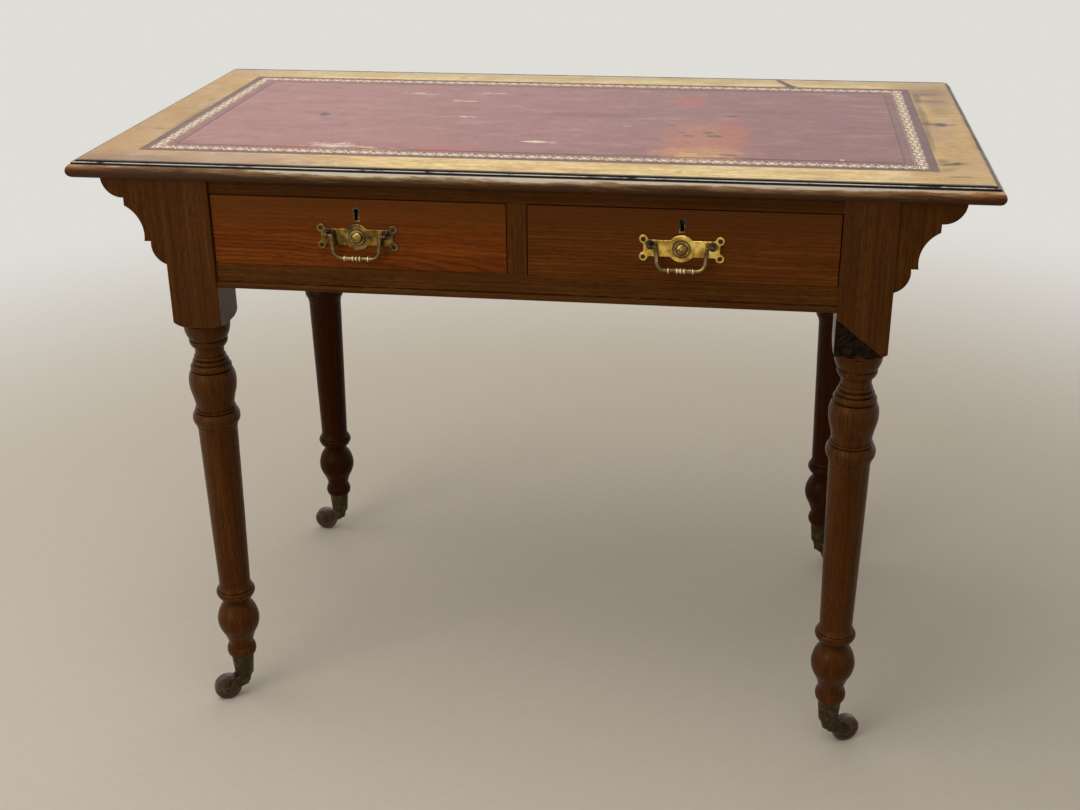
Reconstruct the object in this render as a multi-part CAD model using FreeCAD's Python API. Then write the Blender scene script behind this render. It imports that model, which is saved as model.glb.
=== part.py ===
import FreeCAD
import Part
import math
import os

Vector = FreeCAD.Vector

# Writing table with a leather inset, two drawers, turned legs, shaped brackets and brass castors.
# Millimetres. The floor is z = 0, the front faces -Y, and the origin lies under the middle of the top.

# Overall sizes
table_height = 750.0
top_width = 1060.0
top_depth = 575.0
top_thickness = 20.0

# Moulded edge of the top, out and down from its upper arris
edge_projection = 10.0
edge_step_projection = 4.0
edge_quirk_drop = 1.7
edge_step_drop = 3.4
edge_nose_drop = 11.0
edge_return_projection = 3.5

# Leather inset
leather_border = 54.5
leather_thickness = 1.2
leather_gap = 0.3

# Legs, and how far the top hangs over them
leg_square = 60.0
end_overhang = 108.0
front_overhang = 7.5
back_overhang = 29.5
leg_arris_radius = 1.2
pommel_foot_height = 547.5
pommel_shoulder_rise = 7.0

# Turned outline, from the pommel down to the castor cup: each step is a straight line to one point, or
# an arc through one point to the next. Each point is a share of half the leg square, and a share of the
# height from the cup rim to the pommel foot.
turning_start_shares = (0.887, 1.000)
turning_step_shares = (
    ((0.887, 0.9973),),
    ((0.945, 0.9955),),
    ((0.915, 0.9755), (0.780, 0.9550)),
    ((0.740, 0.9543),),
    ((0.740, 0.9518),),
    ((0.785, 0.9510),),
    ((0.785, 0.9448),),
    ((0.735, 0.9372), (0.612, 0.9285)),
    ((0.595, 0.9255),),
    ((0.592, 0.9085),),
    ((0.632, 0.9078),),
    ((0.660, 0.9035), (0.648, 0.8990)),
    ((0.615, 0.8985),),
    ((0.615, 0.8966),),
    ((0.690, 0.8958),),
    ((0.742, 0.8915), (0.735, 0.8875)),
    ((0.695, 0.8869),),
    ((0.695, 0.8850),),
    ((0.775, 0.8842),),
    ((0.842, 0.8775), (0.838, 0.8705)),
    ((0.780, 0.8697),),
    ((0.780, 0.8668),),
    ((0.862, 0.8656),),
    ((0.955, 0.8500), (0.976, 0.8340)),
    ((0.955, 0.8170), (0.905, 0.8030)),
    ((0.822, 0.7815), (0.785, 0.7630)),
    ((0.785, 0.7600),),
    ((0.850, 0.7590),),
    ((0.850, 0.7545),),
    ((0.815, 0.7539),),
    ((0.815, 0.7520),),
    ((0.890, 0.7512),),
    ((0.985, 0.7335), (0.905, 0.7170)),
    ((0.860, 0.7162),),
    ((0.855, 0.7090),),
    ((0.818, 0.7010),),
    ((0.755, 0.4800), (0.676, 0.2320)),
    ((0.710, 0.2235), (0.775, 0.2165)),
    ((0.745, 0.2159),),
    ((0.745, 0.2140),),
    ((0.800, 0.2132),),
    ((0.846, 0.2045), (0.800, 0.1955)),
    ((0.715, 0.1865), (0.600, 0.1800)),
    ((0.545, 0.1760),),
    ((0.545, 0.1712),),
    ((0.600, 0.1676),),
    ((0.760, 0.1530), (0.868, 0.1345)),
    ((0.914, 0.1180), (0.885, 0.1000)),
    ((0.845, 0.0910), (0.787, 0.0826)),
    ((0.640, 0.0640), (0.535, 0.0400)),
    ((0.560, 0.0345),),
    ((0.560, 0.0322),),
    ((0.590, 0.0314),),
    ((0.644, 0.0165), (0.600, 0.0035)),
    ((0.510, 0.0000),),
)

# Broken-away lower corner on the front right leg
chip_width = 57.0
chip_rise = 45.5
chip_depth = 3.0

# Rails and divider
rail_setback = 3.5
rail_depth = 50.0
rail_arris_radius = 0.8
top_rail_height = 16.0
drawer_opening_height = 84.0
bottom_rail_height = 31.0
bead_radius = 4.0
bead_projection = 2.6
bead_quirk = 1.2
divider_width = 23.0
apron_thickness = 20.0
apron_setback = 6.0

# Tenons
rail_tenon_length = 24.0
rail_tenon_depth = 30.0
top_tenon_height = 8.0
bottom_tenon_height = 18.0
apron_tenon_thickness = 10.0
apron_tenon_shoulder = 16.0
divider_tenon_length = 8.0
divider_tenon_width = 12.0
divider_tenon_depth = 28.0
mortise_end_gap = 1.0

# Brackets, out from the leg and down from the top
bracket_projection = 70.0
bracket_height = 103.5
bracket_thickness = 28.0
bracket_setback = 1.5
upper_ovolo_width = 25.5
upper_ovolo_height = 23.5
bracket_fillet_height = 9.5
cavetto_width = 20.0
cavetto_height = 42.5
lower_fillet_width = 8.0
bracket_tongue_length = 7.0
bracket_tongue_thickness = 10.0
bracket_tongue_shoulder = 14.0

# Drawer runners, guides, kickers and stops
runner_lap = 10.0
runner_thickness = 18.0
guide_height = 20.0
stop_width = 40.0
stop_length = 14.0
stop_height = 5.0
stop_gap = 0.3
stop_place_shares = (-0.27, 0.27)

# Drawers
drawer_side_gap = 0.8
drawer_top_gap = 1.2
drawer_run_gap = 0.3
drawer_back_gap = 38.5
drawer_front_thickness = 20.0
drawer_front_radius = 0.8
drawer_side_thickness = 9.0
drawer_side_drop = 3.0
drawer_back_thickness = 9.0
drawer_back_drop = 6.0
drawer_bottom_thickness = 6.0
drawer_bottom_raise = 8.0
side_groove_depth = 4.0
front_groove_depth = 5.0
panel_gap = 0.2
dovetail_lap = 6.0
dovetail_count = 3
dovetail_width = 14.0
dovetail_flare = 2.0

# Drawer lock
lock_width = 46.0
lock_height = 34.0
lock_depth = 9.0
bolt_width = 18.0
bolt_height = 20.0
bolt_depth = 4.6
bolt_drop = 0.4
bolt_gap = 0.15
bolt_throw = 7.0
bolt_mortise_gap = 1.0

# Keyhole liner
keyhole_drop = 9.6
keyhole_radius = 4.3
keyhole_foot_width = 7.2
keyhole_height = 16.5
liner_wall = 1.4
liner_depth = 6.0
keyhole_waist_share = 0.62

# Handle plate, boss and posts
handle_drop = 44.6
plate_thickness = 2.0
plate_half_length = 43.0
plate_strip_height = 19.4
plate_disc_radius = 15.7
plate_ear_radius = 5.0
plate_ear_spacing_x = 85.8
plate_ear_spacing_z = 20.4
plate_corner_radius = 2.0
plate_bevel = 0.45
plate_recess_depth = 0.8
boss_recess_radius = 10.5
boss_base_radius = 8.6
boss_base_height = 1.4
boss_radius = 7.2
boss_height = 6.4
boss_button_radius = 2.4
boss_button_height = 1.3
post_spacing = 69.8
post_rise = 4.0
post_radius = 2.5
post_foot_radius = 4.0
post_foot_height = 1.4
post_cup_radius = 5.2
post_eye_radius = 3.2
post_standoff = 7.6

# Bail
bail_radius = 2.4
bail_arm_spacing = 58.0
bail_arm_lean = 3.0
bail_drop = 27.2
bail_bend_radius = 10.0
bail_pin_radius = 1.45
bail_pin_length = 9.2
bail_pin_gap = 0.05
bail_ring_radius = 2.65
bail_ring_wire = 1.1
bail_ring_shares = (-0.48, -0.14, 0.0, 0.14, 0.48)
bail_grip_radius = 2.8
bail_grip_length = 29.0

# Handle screws
handle_screw_radius = 1.4
handle_screw_head_radius = 2.7
handle_screw_head_height = 1.3
handle_screw_length = 13.0
screw_slot_width = 0.8
screw_slot_depth = 0.7
screw_gap = 0.05

# Screws that hold the top
top_screw_radius = 2.0
top_screw_head_radius = 4.0
top_screw_head_height = 2.4
top_screw_length = 28.0
top_screw_place_shares = (0.14, 0.50, 0.86)

# Castors
cup_rim_height = 67.0
cup_rim_radius = 15.0
cup_foot_radius = 12.2
cup_foot_height = 36.0
cup_wall = 1.8
cup_floor = 3.0
peg_end_gap = 6.5
swivel_gap = 0.4
swivel_pin_radius = 3.5
swivel_head_radius = 6.2
swivel_head_height = 2.0
running_gap = 0.05
wheel_radius = 18.0
wheel_width = 13.0
wheel_edge_radius = 3.0
wheel_hub_radius = 7.0
wheel_hub_recess = 0.8
wheel_trail = 24.0
wheel_rim_gap = 1.2
wheel_side_gap = 0.6
horn_boss_radius = 10.4
horn_boss_foot_radius = 7.0
horn_boss_height = 13.0
horn_cheek_thickness = 3.0
horn_eye_radius = 5.2
axle_radius = 2.4
axle_head_radius = 3.8
axle_head_height = 1.0
castor_angles = {"front_left": 208.0, "front_right": 22.0, "back_left": 180.0, "back_right": 335.0}

# One overrun serves every cut, and one tolerance every search for an edge
cut_overrun = 5.0
match_tolerance = 0.02
quarter_share = math.sqrt(0.5)

# Places worked out from the sizes
underside_z = table_height - top_thickness
arris_half_x = top_width / 2 - edge_projection
arris_half_y = top_depth / 2 - edge_projection
leg_half = leg_square / 2
leg_x = top_width / 2 - end_overhang - leg_half
leg_inner_x = leg_x - leg_half
leg_outer_x = leg_x + leg_half
leg_front_y = -top_depth / 2 + front_overhang + leg_half
leg_back_y = top_depth / 2 - back_overhang - leg_half
leg_places = {
    "front_left": (-leg_x, leg_front_y),
    "front_right": (leg_x, leg_front_y),
    "back_left": (-leg_x, leg_back_y),
    "back_right": (leg_x, leg_back_y),
}
rail_front_y = leg_front_y - leg_half + rail_setback
rail_back_y = rail_front_y + rail_depth
opening_top_z = underside_z - top_rail_height
opening_foot_z = opening_top_z - drawer_opening_height
apron_foot_z = opening_foot_z - bottom_rail_height
back_rail_y = leg_back_y + leg_half - apron_setback - apron_thickness
side_rail_x = leg_outer_x - apron_setback - apron_thickness
drawer_x = (leg_inner_x + divider_width / 2) / 2
drawer_half = (leg_inner_x - divider_width / 2) / 2 - drawer_side_gap
drawer_foot_z = opening_foot_z + drawer_run_gap
drawer_head_z = opening_top_z - drawer_top_gap
drawer_end_y = back_rail_y - drawer_back_gap
front_inner_y = rail_front_y + drawer_front_thickness
side_top_z = drawer_head_z - drawer_side_drop
handle_z = drawer_head_z - handle_drop
plate_front_y = rail_front_y - plate_thickness
pivot_y = plate_front_y - post_standoff
pivot_z = handle_z + post_rise
axle_z = wheel_radius
horn_top_z = cup_foot_height - swivel_gap
cheek_inner = wheel_width / 2 + wheel_side_gap
cheek_outer = cheek_inner + horn_cheek_thickness
x_axis = Vector(1, 0, 0)
y_axis = Vector(0, 1, 0)
z_axis = Vector(0, 0, 1)


def block(x_span, y_span, z_span):
    low = Vector(min(x_span), min(y_span), min(z_span))
    high = Vector(max(x_span), max(y_span), max(z_span))
    size = high - low
    return Part.makeBox(size.x, size.y, size.z, low)


def rod(radius, start, end):
    along = end - start
    return Part.makeCylinder(radius, along.Length, start, along)


def closed_wire(start, steps):
    # A step of one point is a straight line to it; a step of two is an arc through the first.
    edges = []
    here = start
    for step in steps:
        if len(step) == 1:
            edges.append(Part.LineSegment(here, step[0]).toShape())
        else:
            edges.append(Part.Arc(here, step[0], step[1]).toShape())
        here = step[-1]
    edges.append(Part.LineSegment(here, start).toShape())
    return Part.Wire(edges)


def prism(start, steps, along):
    return Part.Face(closed_wire(start, steps)).extrude(along)


def turned(start, steps, axis):
    return Part.Face(closed_wire(start, steps)).revolve(Vector(), axis, 360)


def union(shapes):
    return shapes[0].multiFuse(shapes[1:]).removeSplitter()


def mirrored(shape):
    return shape.mirror(Vector(), x_axis)


def edges_along(shape, axis):
    # Straight edges that lie along one axis.
    found = []
    for edge in shape.Edges:
        if isinstance(edge.Curve, Part.Line) and abs(edge.Curve.Direction.dot(axis)) > quarter_share:
            found.append(edge)
    return found


def edges_on_front(edges, y):
    # Edges that lie wholly in the plane at y.
    return [edge for edge in edges if max(edge.BoundBox.YMax - y, y - edge.BoundBox.YMin) < match_tolerance]


def screw(head_point, along, radius, head_radius, head_height, length):
    # Countersunk screw with its flat head at head_point.
    tip = head_point + along * length
    head = Part.makeCone(head_radius, radius, head_height, head_point, along)
    return rod(radius, head_point, tip).fuse(head).removeSplitter()


def moulded_prism(half_span, half_length, point, along):
    # The top's section along one direction: its moulded edge at both ends, as long as the top.
    foot_z = underside_z
    quirk_z = table_height - edge_quirk_drop
    step_z = table_height - edge_step_drop
    nose_z = table_height - edge_nose_drop
    step_half = half_span + edge_step_projection
    nose_half = half_span + edge_projection
    foot_half = half_span + edge_return_projection
    steps = (
        (point(-half_span, quirk_z),),
        (point(-step_half, quirk_z),),
        (point(-step_half, step_z),),
        (point(-nose_half, nose_z), point(-foot_half, foot_z)),
        (point(foot_half, foot_z),),
        (point(nose_half, nose_z), point(step_half, step_z)),
        (point(step_half, quirk_z),),
        (point(half_span, quirk_z),),
        (point(half_span, table_height),),
    )
    return prism(point(-half_span, table_height), steps, along * (2 * half_length))


def table_top():
    long_half = top_width / 2 + cut_overrun
    short_half = top_depth / 2 + cut_overrun
    long_way = moulded_prism(arris_half_y, long_half, lambda u, z: Vector(-long_half, u, z), x_axis)
    cross_way = moulded_prism(arris_half_x, short_half, lambda u, z: Vector(u, -short_half, z), y_axis)
    recess = leather_block(leather_gap)
    pilots = top_screws(screw_gap)
    return long_way.common(cross_way).cut(recess).cut(pilots)


def leather_block(gap):
    half_x = arris_half_x - leather_border - leather_gap + gap
    half_y = arris_half_y - leather_border - leather_gap + gap
    return block((-half_x, half_x), (-half_y, half_y), (table_height - leather_thickness, table_height))


def turning_point(shares):
    height = pommel_foot_height - cup_rim_height
    return Vector(shares[0] * leg_half, 0, cup_rim_height + shares[1] * height)


def leg_turning():
    steps = [[turning_point(shares) for shares in step] for step in turning_step_shares]
    steps.append([Vector(0, 0, cup_rim_height)])
    steps.append([Vector(0, 0, pommel_foot_height)])
    return turned(turning_point(turning_start_shares), steps, z_axis)


def pommel():
    # Square block whose lower corners are rounded over by the lathe.
    square = block((-leg_half, leg_half), (-leg_half, leg_half), (pommel_foot_height, underside_z))
    square = square.makeFillet(leg_arris_radius, edges_along(square, z_axis))
    foot = turning_point(turning_start_shares)
    corner_reach = leg_half / quarter_share
    middle_x = foot.x + (corner_reach - foot.x) * quarter_share
    middle_z = foot.z + pommel_shoulder_rise * (1 - quarter_share)
    steps = (
        (Vector(middle_x, 0, middle_z), Vector(corner_reach, 0, foot.z + pommel_shoulder_rise)),
        (Vector(corner_reach, 0, underside_z),),
        (Vector(0, 0, underside_z),),
        (Vector(0, 0, foot.z),),
    )
    return square.common(turned(foot, steps, z_axis))


def leg_peg():
    foot_z = cup_foot_height + cup_floor + peg_end_gap
    return cup_cone(cup_wall, foot_z, cup_rim_height)


def cup_cone(inset, low_z, high_z):
    # A slice of the cup's cone, set in from its outside.
    taper = (cup_rim_radius - cup_foot_radius) / (cup_rim_height - cup_foot_height)
    low_radius = cup_foot_radius + taper * (low_z - cup_foot_height) - inset
    high_radius = cup_foot_radius + taper * (high_z - cup_foot_height) - inset
    return Part.makeCone(low_radius, high_radius, high_z - low_z, Vector(0, 0, low_z))


def leg_chip():
    # Wedge split off the lower inner corner of the front face.
    x = leg_inner_x - cut_overrun
    y = leg_front_y - leg_half
    top = Vector(x, y, pommel_foot_height + chip_rise * (1 + cut_overrun / chip_width))
    foot_z = pommel_foot_height - cut_overrun
    side = Vector(leg_inner_x + chip_width * (1 + cut_overrun / chip_rise), y, foot_z)
    steps = ((side,), (Vector(x, y, foot_z),))
    return prism(top, steps, Vector(0, chip_depth, 0))


def leg(corner, cutters):
    x, y = leg_places[corner]
    shape = union([leg_turning(), pommel(), leg_peg()])
    shape.translate(Vector(x, y, 0))
    if corner == "front_right":
        shape = shape.cut(leg_chip())
    return shape.cut(cutters)


def front_rail(z_span, tenon_height, tenon_length):
    body = block((-leg_inner_x, leg_inner_x), (rail_front_y, rail_back_y), z_span)
    body = body.makeFillet(rail_arris_radius, edges_on_front(edges_along(body, x_axis), rail_front_y))
    middle_y = (rail_front_y + rail_back_y) / 2
    middle_z = sum(z_span) / 2
    half_x = leg_inner_x + tenon_length
    y_span = (middle_y - rail_tenon_depth / 2, middle_y + rail_tenon_depth / 2)
    tenon_z = (middle_z - tenon_height / 2, middle_z + tenon_height / 2)
    return body.fuse(block((-half_x, half_x), y_span, tenon_z)).removeSplitter()


def front_top_rail(tenon_length):
    return front_rail((opening_top_z, underside_z), top_tenon_height, tenon_length)


def front_bottom_rail(tenon_length):
    rail = front_rail((apron_foot_z, opening_foot_z), bottom_tenon_height, tenon_length)
    bead_y = rail_front_y - bead_projection + bead_radius
    bead_z = apron_foot_z + bead_radius
    groove_z = (bead_z + bead_radius, bead_z + bead_radius + bead_quirk)
    x_span = (-leg_inner_x, leg_inner_x)
    groove = block(x_span, (rail_front_y - cut_overrun, rail_front_y + bead_quirk), groove_z)
    corner = block(x_span, (rail_front_y - cut_overrun, bead_y), (apron_foot_z, bead_z))
    bead = rod(bead_radius, Vector(-leg_inner_x, bead_y, bead_z), Vector(leg_inner_x, bead_y, bead_z))
    return rail.cut(groove).cut(corner).fuse(bead).removeSplitter()


def drawer_divider(tenon_length):
    half = divider_width / 2
    body = block((-half, half), (rail_front_y, rail_back_y), (opening_foot_z, opening_top_z))
    body = body.makeFillet(rail_arris_radius, edges_on_front(edges_along(body, z_axis), rail_front_y))
    middle_y = (rail_front_y + rail_back_y) / 2
    x_span = (-divider_tenon_width / 2, divider_tenon_width / 2)
    y_span = (middle_y - divider_tenon_depth / 2, middle_y + divider_tenon_depth / 2)
    z_span = (opening_foot_z - tenon_length, opening_top_z + tenon_length)
    return body.fuse(block(x_span, y_span, z_span)).removeSplitter()


def back_rail(tenon_length):
    y_span = (back_rail_y, back_rail_y + apron_thickness)
    body = block((-leg_inner_x, leg_inner_x), y_span, (apron_foot_z, underside_z))
    half_x = leg_inner_x + tenon_length
    middle_y = sum(y_span) / 2
    tenon_y = (middle_y - apron_tenon_thickness / 2, middle_y + apron_tenon_thickness / 2)
    tenon_z = (apron_foot_z + apron_tenon_shoulder, underside_z - apron_tenon_shoulder)
    return body.fuse(block((-half_x, half_x), tenon_y, tenon_z)).removeSplitter()


def side_rail(tenon_length):
    # The right-hand side rail; the left one is its mirror image.
    x_span = (side_rail_x, side_rail_x + apron_thickness)
    y_span = (leg_front_y + leg_half, leg_back_y - leg_half)
    body = block(x_span, y_span, (apron_foot_z, underside_z))
    middle_x = sum(x_span) / 2
    tenon_x = (middle_x - apron_tenon_thickness / 2, middle_x + apron_tenon_thickness / 2)
    tenon_y = (y_span[0] - tenon_length, y_span[1] + tenon_length)
    tenon_z = (apron_foot_z + apron_tenon_shoulder, underside_z - apron_tenon_shoulder)
    return body.fuse(block(tenon_x, tenon_y, tenon_z)).removeSplitter()


def bracket(corner, tongue_length):
    # Ovolo, fillet, cavetto, fillet and ovolo, from the tip under the top back to the leg.
    def point(out, drop):
        return Vector(leg_outer_x + out, 0, underside_z - drop)

    step_out = bracket_projection - upper_ovolo_width
    cavetto_drop = upper_ovolo_height + bracket_fillet_height
    inner_out = step_out - cavetto_width
    inner_drop = cavetto_drop + cavetto_height
    lower_out = inner_out - lower_fillet_width
    lower_height = bracket_height - inner_drop
    upper_middle = point(step_out + upper_ovolo_width * quarter_share, upper_ovolo_height * quarter_share)
    hollow_rise = cavetto_height * quarter_share
    hollow_middle = point(step_out - cavetto_width * quarter_share, inner_drop - hollow_rise)
    lower_middle = point(lower_out * quarter_share, inner_drop + lower_height * quarter_share)
    steps = (
        (point(bracket_projection, 0),),
        (upper_middle, point(step_out, upper_ovolo_height)),
        (point(step_out, cavetto_drop),),
        (hollow_middle, point(inner_out, inner_drop)),
        (point(lower_out, inner_drop),),
        (lower_middle, point(0, bracket_height)),
    )
    board = prism(point(0, 0), steps, Vector(0, bracket_thickness, 0))
    middle_y = bracket_thickness / 2
    tongue_y = (middle_y - bracket_tongue_thickness / 2, middle_y + bracket_tongue_thickness / 2)
    tongue_z = (underside_z - bracket_height + bracket_tongue_shoulder, underside_z - bracket_tongue_shoulder)
    tongue = block((leg_outer_x - tongue_length, leg_outer_x + lower_out / 2), tongue_y, tongue_z)
    shape = board.fuse(tongue).removeSplitter()
    x, y = leg_places[corner]
    if y < 0:
        shape.translate(Vector(0, y - leg_half + bracket_setback, 0))
    else:
        shape.translate(Vector(0, y + leg_half - bracket_setback - bracket_thickness, 0))
    if x < 0:
        shape = mirrored(shape)
    return shape


def pommel_blocks():
    z_span = (apron_foot_z, underside_z)
    blocks = []
    for x, y in leg_places.values():
        blocks.append(block((x - leg_half, x + leg_half), (y - leg_half, y + leg_half), z_span))
    return Part.makeCompound(blocks)


def bearer_bars(z_span):
    # Bars from front rail to back rail that pass beside the legs: one at each side and one in the middle.
    y_span = (rail_back_y, back_rail_y)
    inner_x = leg_inner_x - runner_lap
    right = block((inner_x, side_rail_x), y_span, z_span).cut(pommel_blocks())
    half = divider_width / 2 + runner_lap
    middle = block((-half, half), y_span, z_span)
    return [mirrored(right), middle, right]


def drawer_runners():
    return Part.makeCompound(bearer_bars((opening_foot_z - runner_thickness, opening_foot_z)))


def drawer_kickers():
    bars = bearer_bars((opening_top_z, underside_z))
    holes = top_screws(screw_gap)
    return Part.makeCompound([bar.cut(holes) for bar in bars])


def drawer_guides():
    z_span = (opening_foot_z, opening_foot_z + guide_height)
    y_span = (leg_front_y + leg_half, leg_back_y - leg_half)
    right = block((leg_inner_x, side_rail_x), y_span, z_span)
    half = divider_width / 2
    middle = block((-half, half), (rail_back_y, back_rail_y), z_span)
    return Part.makeCompound([mirrored(right), middle, right])


def drawer_stops():
    stops = []
    stop_y = front_inner_y + stop_gap
    y_span = (stop_y, stop_y + stop_length)
    half = stop_width / 2
    z_span = (opening_foot_z, opening_foot_z + stop_height)
    for middle in (-drawer_x, drawer_x):
        for share in stop_place_shares:
            x = middle + share * 2 * drawer_half
            stops.append(block((x - half, x + half), y_span, z_span))
    return Part.makeCompound(stops)


def top_screws(gap):
    # Screws up through the kickers into the top; a gap above zero gives their holes.
    screws = []
    side_x = (leg_inner_x + side_rail_x) / 2
    for x in (-side_x, 0, side_x):
        for share in top_screw_place_shares:
            y = rail_back_y + share * (back_rail_y - rail_back_y)
            start = Vector(x, y, opening_top_z)
            screws.append(
                screw(
                    start,
                    z_axis,
                    top_screw_radius + gap,
                    top_screw_head_radius + gap,
                    top_screw_head_height,
                    top_screw_length + gap,
                )
            )
    return Part.makeCompound(screws)


def dovetails(side):
    # Tails on the front end of a drawer side, wider at their tips.
    height = side_top_z - drawer_foot_z
    tip_y = rail_front_y + dovetail_lap
    tip_half = dovetail_width / 2
    root_half = tip_half - dovetail_flare
    outer_x = side * drawer_half
    along = Vector(-side * drawer_side_thickness, 0, 0)
    tails = []
    for place in range(dovetail_count):
        z = drawer_foot_z + (place + 1 / 2) * height / dovetail_count
        start = Vector(outer_x, front_inner_y, z - root_half)
        steps = (
            (Vector(outer_x, tip_y, z - tip_half),),
            (Vector(outer_x, tip_y, z + tip_half),),
            (Vector(outer_x, front_inner_y, z + root_half),),
        )
        tails.append(prism(start, steps, along))
    return tails


def bottom_panel(gap):
    half = drawer_half - drawer_side_thickness + side_groove_depth - panel_gap + gap
    y_span = (front_inner_y - front_groove_depth + panel_gap - gap, drawer_end_y)
    low_z = drawer_foot_z + drawer_bottom_raise
    return block((-half, half), y_span, (low_z, low_z + drawer_bottom_thickness))


def drawer_side(side):
    x_span = (side * drawer_half, side * (drawer_half - drawer_side_thickness))
    body = block(x_span, (front_inner_y, drawer_end_y), (drawer_foot_z, side_top_z))
    return union([body] + dovetails(side)).cut(bottom_panel(panel_gap))


def drawer_back():
    half = drawer_half - drawer_side_thickness
    low_z = drawer_foot_z + drawer_bottom_raise + drawer_bottom_thickness
    y_span = (drawer_end_y - drawer_back_thickness, drawer_end_y)
    return block((-half, half), y_span, (low_z, side_top_z - drawer_back_drop))


def keyhole_prism(inset, y_span):
    # Round head over a foot that widens a little towards its base.
    radius = keyhole_radius - inset
    centre_z = drawer_head_z - keyhole_drop - keyhole_radius
    foot_z = drawer_head_z - keyhole_drop - keyhole_height + inset
    foot_half = keyhole_foot_width / 2 - inset
    waist_half = radius * keyhole_waist_share
    y = min(y_span)
    along = Vector(0, max(y_span) - y, 0)
    start = Vector(-waist_half, y, centre_z)
    steps = (
        (Vector(waist_half, y, centre_z),),
        (Vector(foot_half, y, foot_z),),
        (Vector(-foot_half, y, foot_z),),
    )
    head = Part.makeCylinder(radius, along.Length, Vector(0, y, centre_z), y_axis)
    return head.fuse(prism(start, steps, along)).removeSplitter()


def escutcheon():
    y_span = (rail_front_y, rail_front_y + liner_depth)
    return keyhole_prism(0, y_span).cut(keyhole_prism(liner_wall, y_span))


def lock_block():
    y_span = (front_inner_y - lock_depth, front_inner_y)
    return block((-lock_width / 2, lock_width / 2), y_span, (drawer_head_z - lock_height, drawer_head_z))


def bolt_block(gap, foot_gap, head_z):
    half = bolt_width / 2 + gap
    middle_y = front_inner_y - lock_depth / 2
    y_span = (middle_y - bolt_depth / 2 - gap, middle_y + bolt_depth / 2 + gap)
    foot_z = drawer_head_z - bolt_drop - bolt_height - foot_gap
    return block((-half, half), y_span, (foot_z, head_z))


def lock_case():
    slot = bolt_block(bolt_gap, bolt_gap, drawer_head_z + cut_overrun)
    way_in = keyhole_prism(liner_wall, (front_inner_y - lock_depth, front_inner_y - lock_depth / 2))
    return lock_block().cut(slot).cut(way_in)


def lock_bolt():
    return bolt_block(0, 0, drawer_head_z - bolt_drop)


def bolt_mortises():
    # Sockets in the top rail for the raised bolts.
    socket = bolt_block(bolt_mortise_gap, 0, drawer_head_z - bolt_drop + bolt_throw + bolt_mortise_gap)
    return Part.makeCompound([socket.translated(Vector(side * drawer_x, 0, 0)) for side in (-1, 1)])


def drawer_front():
    x_span = (-drawer_half, drawer_half)
    board = block(x_span, (rail_front_y, front_inner_y), (drawer_foot_z, drawer_head_z))
    board = board.makeFillet(drawer_front_radius, edges_on_front(board.Edges, rail_front_y))
    cutters = dovetails(-1) + dovetails(1)
    cutters.append(bottom_panel(panel_gap))
    cutters.append(lock_block())
    cutters.append(keyhole_prism(0, (rail_front_y - cut_overrun, rail_front_y + liner_depth)))
    cutters.append(keyhole_prism(liner_wall, (rail_front_y, front_inner_y)))
    cutters.append(handle_screws(screw_gap))
    return board.cut(cutters)


def ear_places():
    places = []
    for x in (-plate_ear_spacing_x / 2, plate_ear_spacing_x / 2):
        for z in (-plate_ear_spacing_z / 2, plate_ear_spacing_z / 2):
            places.append(Vector(x, plate_front_y, handle_z + z))
    return places


def inner_corners(shape):
    # Straight edges along Y where two different faces meet.
    return [edge for edge in edges_along(shape, y_axis) if len(shape.ancestorsOfType(edge, Part.Face)) == 2]


def handle_plate():
    # A strip with a disc in its middle and a screw ear at each corner, its inner corners rounded.
    through = Vector(0, plate_thickness, 0)
    middle = Vector(0, plate_front_y, handle_z)
    half_height = plate_strip_height / 2
    x_span = (-plate_half_length, plate_half_length)
    y_span = (plate_front_y, rail_front_y)
    strip = block(x_span, y_span, (handle_z - half_height, handle_z + half_height))
    disc = rod(plate_disc_radius, middle, middle + through)
    ears = [rod(plate_ear_radius, place, place + through) for place in ear_places()]
    plate = union([strip, disc] + ears)
    plate = plate.makeFillet(plate_corner_radius, inner_corners(plate))
    plate = plate.makeChamfer(plate_bevel, edges_on_front(plate.Edges, plate_front_y))
    cutters = [boss_recess(), handle_screws(screw_gap)]
    for x in post_places():
        cup_start = Vector(x, plate_front_y, pivot_z)
        cutters.append(rod(post_cup_radius, cup_start, cup_start + Vector(0, plate_recess_depth, 0)))
    return plate.cut(cutters)


def boss_recess():
    start = Vector(0, plate_front_y, handle_z)
    return rod(boss_recess_radius, start, start + Vector(0, plate_recess_depth, 0))


def handle_boss():
    # Turned boss: a flat base, a dome and a small button with a round top.
    base_top = -boss_base_height
    dome_top = -boss_height
    dome_x = boss_button_radius + (boss_radius - boss_button_radius) * quarter_share
    dome_y = base_top + (dome_top - base_top) * quarter_share
    button_top = dome_top - boss_button_height
    button_round = (boss_button_radius**2 + boss_button_height**2) / (2 * boss_button_height)
    button_x = boss_button_radius / 2
    button_y = button_top + button_round - math.sqrt(button_round**2 - button_x**2)
    steps = (
        (Vector(boss_base_radius, 0, 0),),
        (Vector(boss_base_radius, base_top, 0),),
        (Vector(boss_radius, base_top, 0),),
        (Vector(dome_x, dome_y, 0), Vector(boss_button_radius, dome_top, 0)),
        (Vector(button_x, button_y, 0), Vector(0, button_top, 0)),
    )
    boss = turned(Vector(), steps, y_axis)
    return boss.translated(Vector(0, plate_front_y + plate_recess_depth, handle_z))


def post_places():
    return (-post_spacing / 2, post_spacing / 2)


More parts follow.
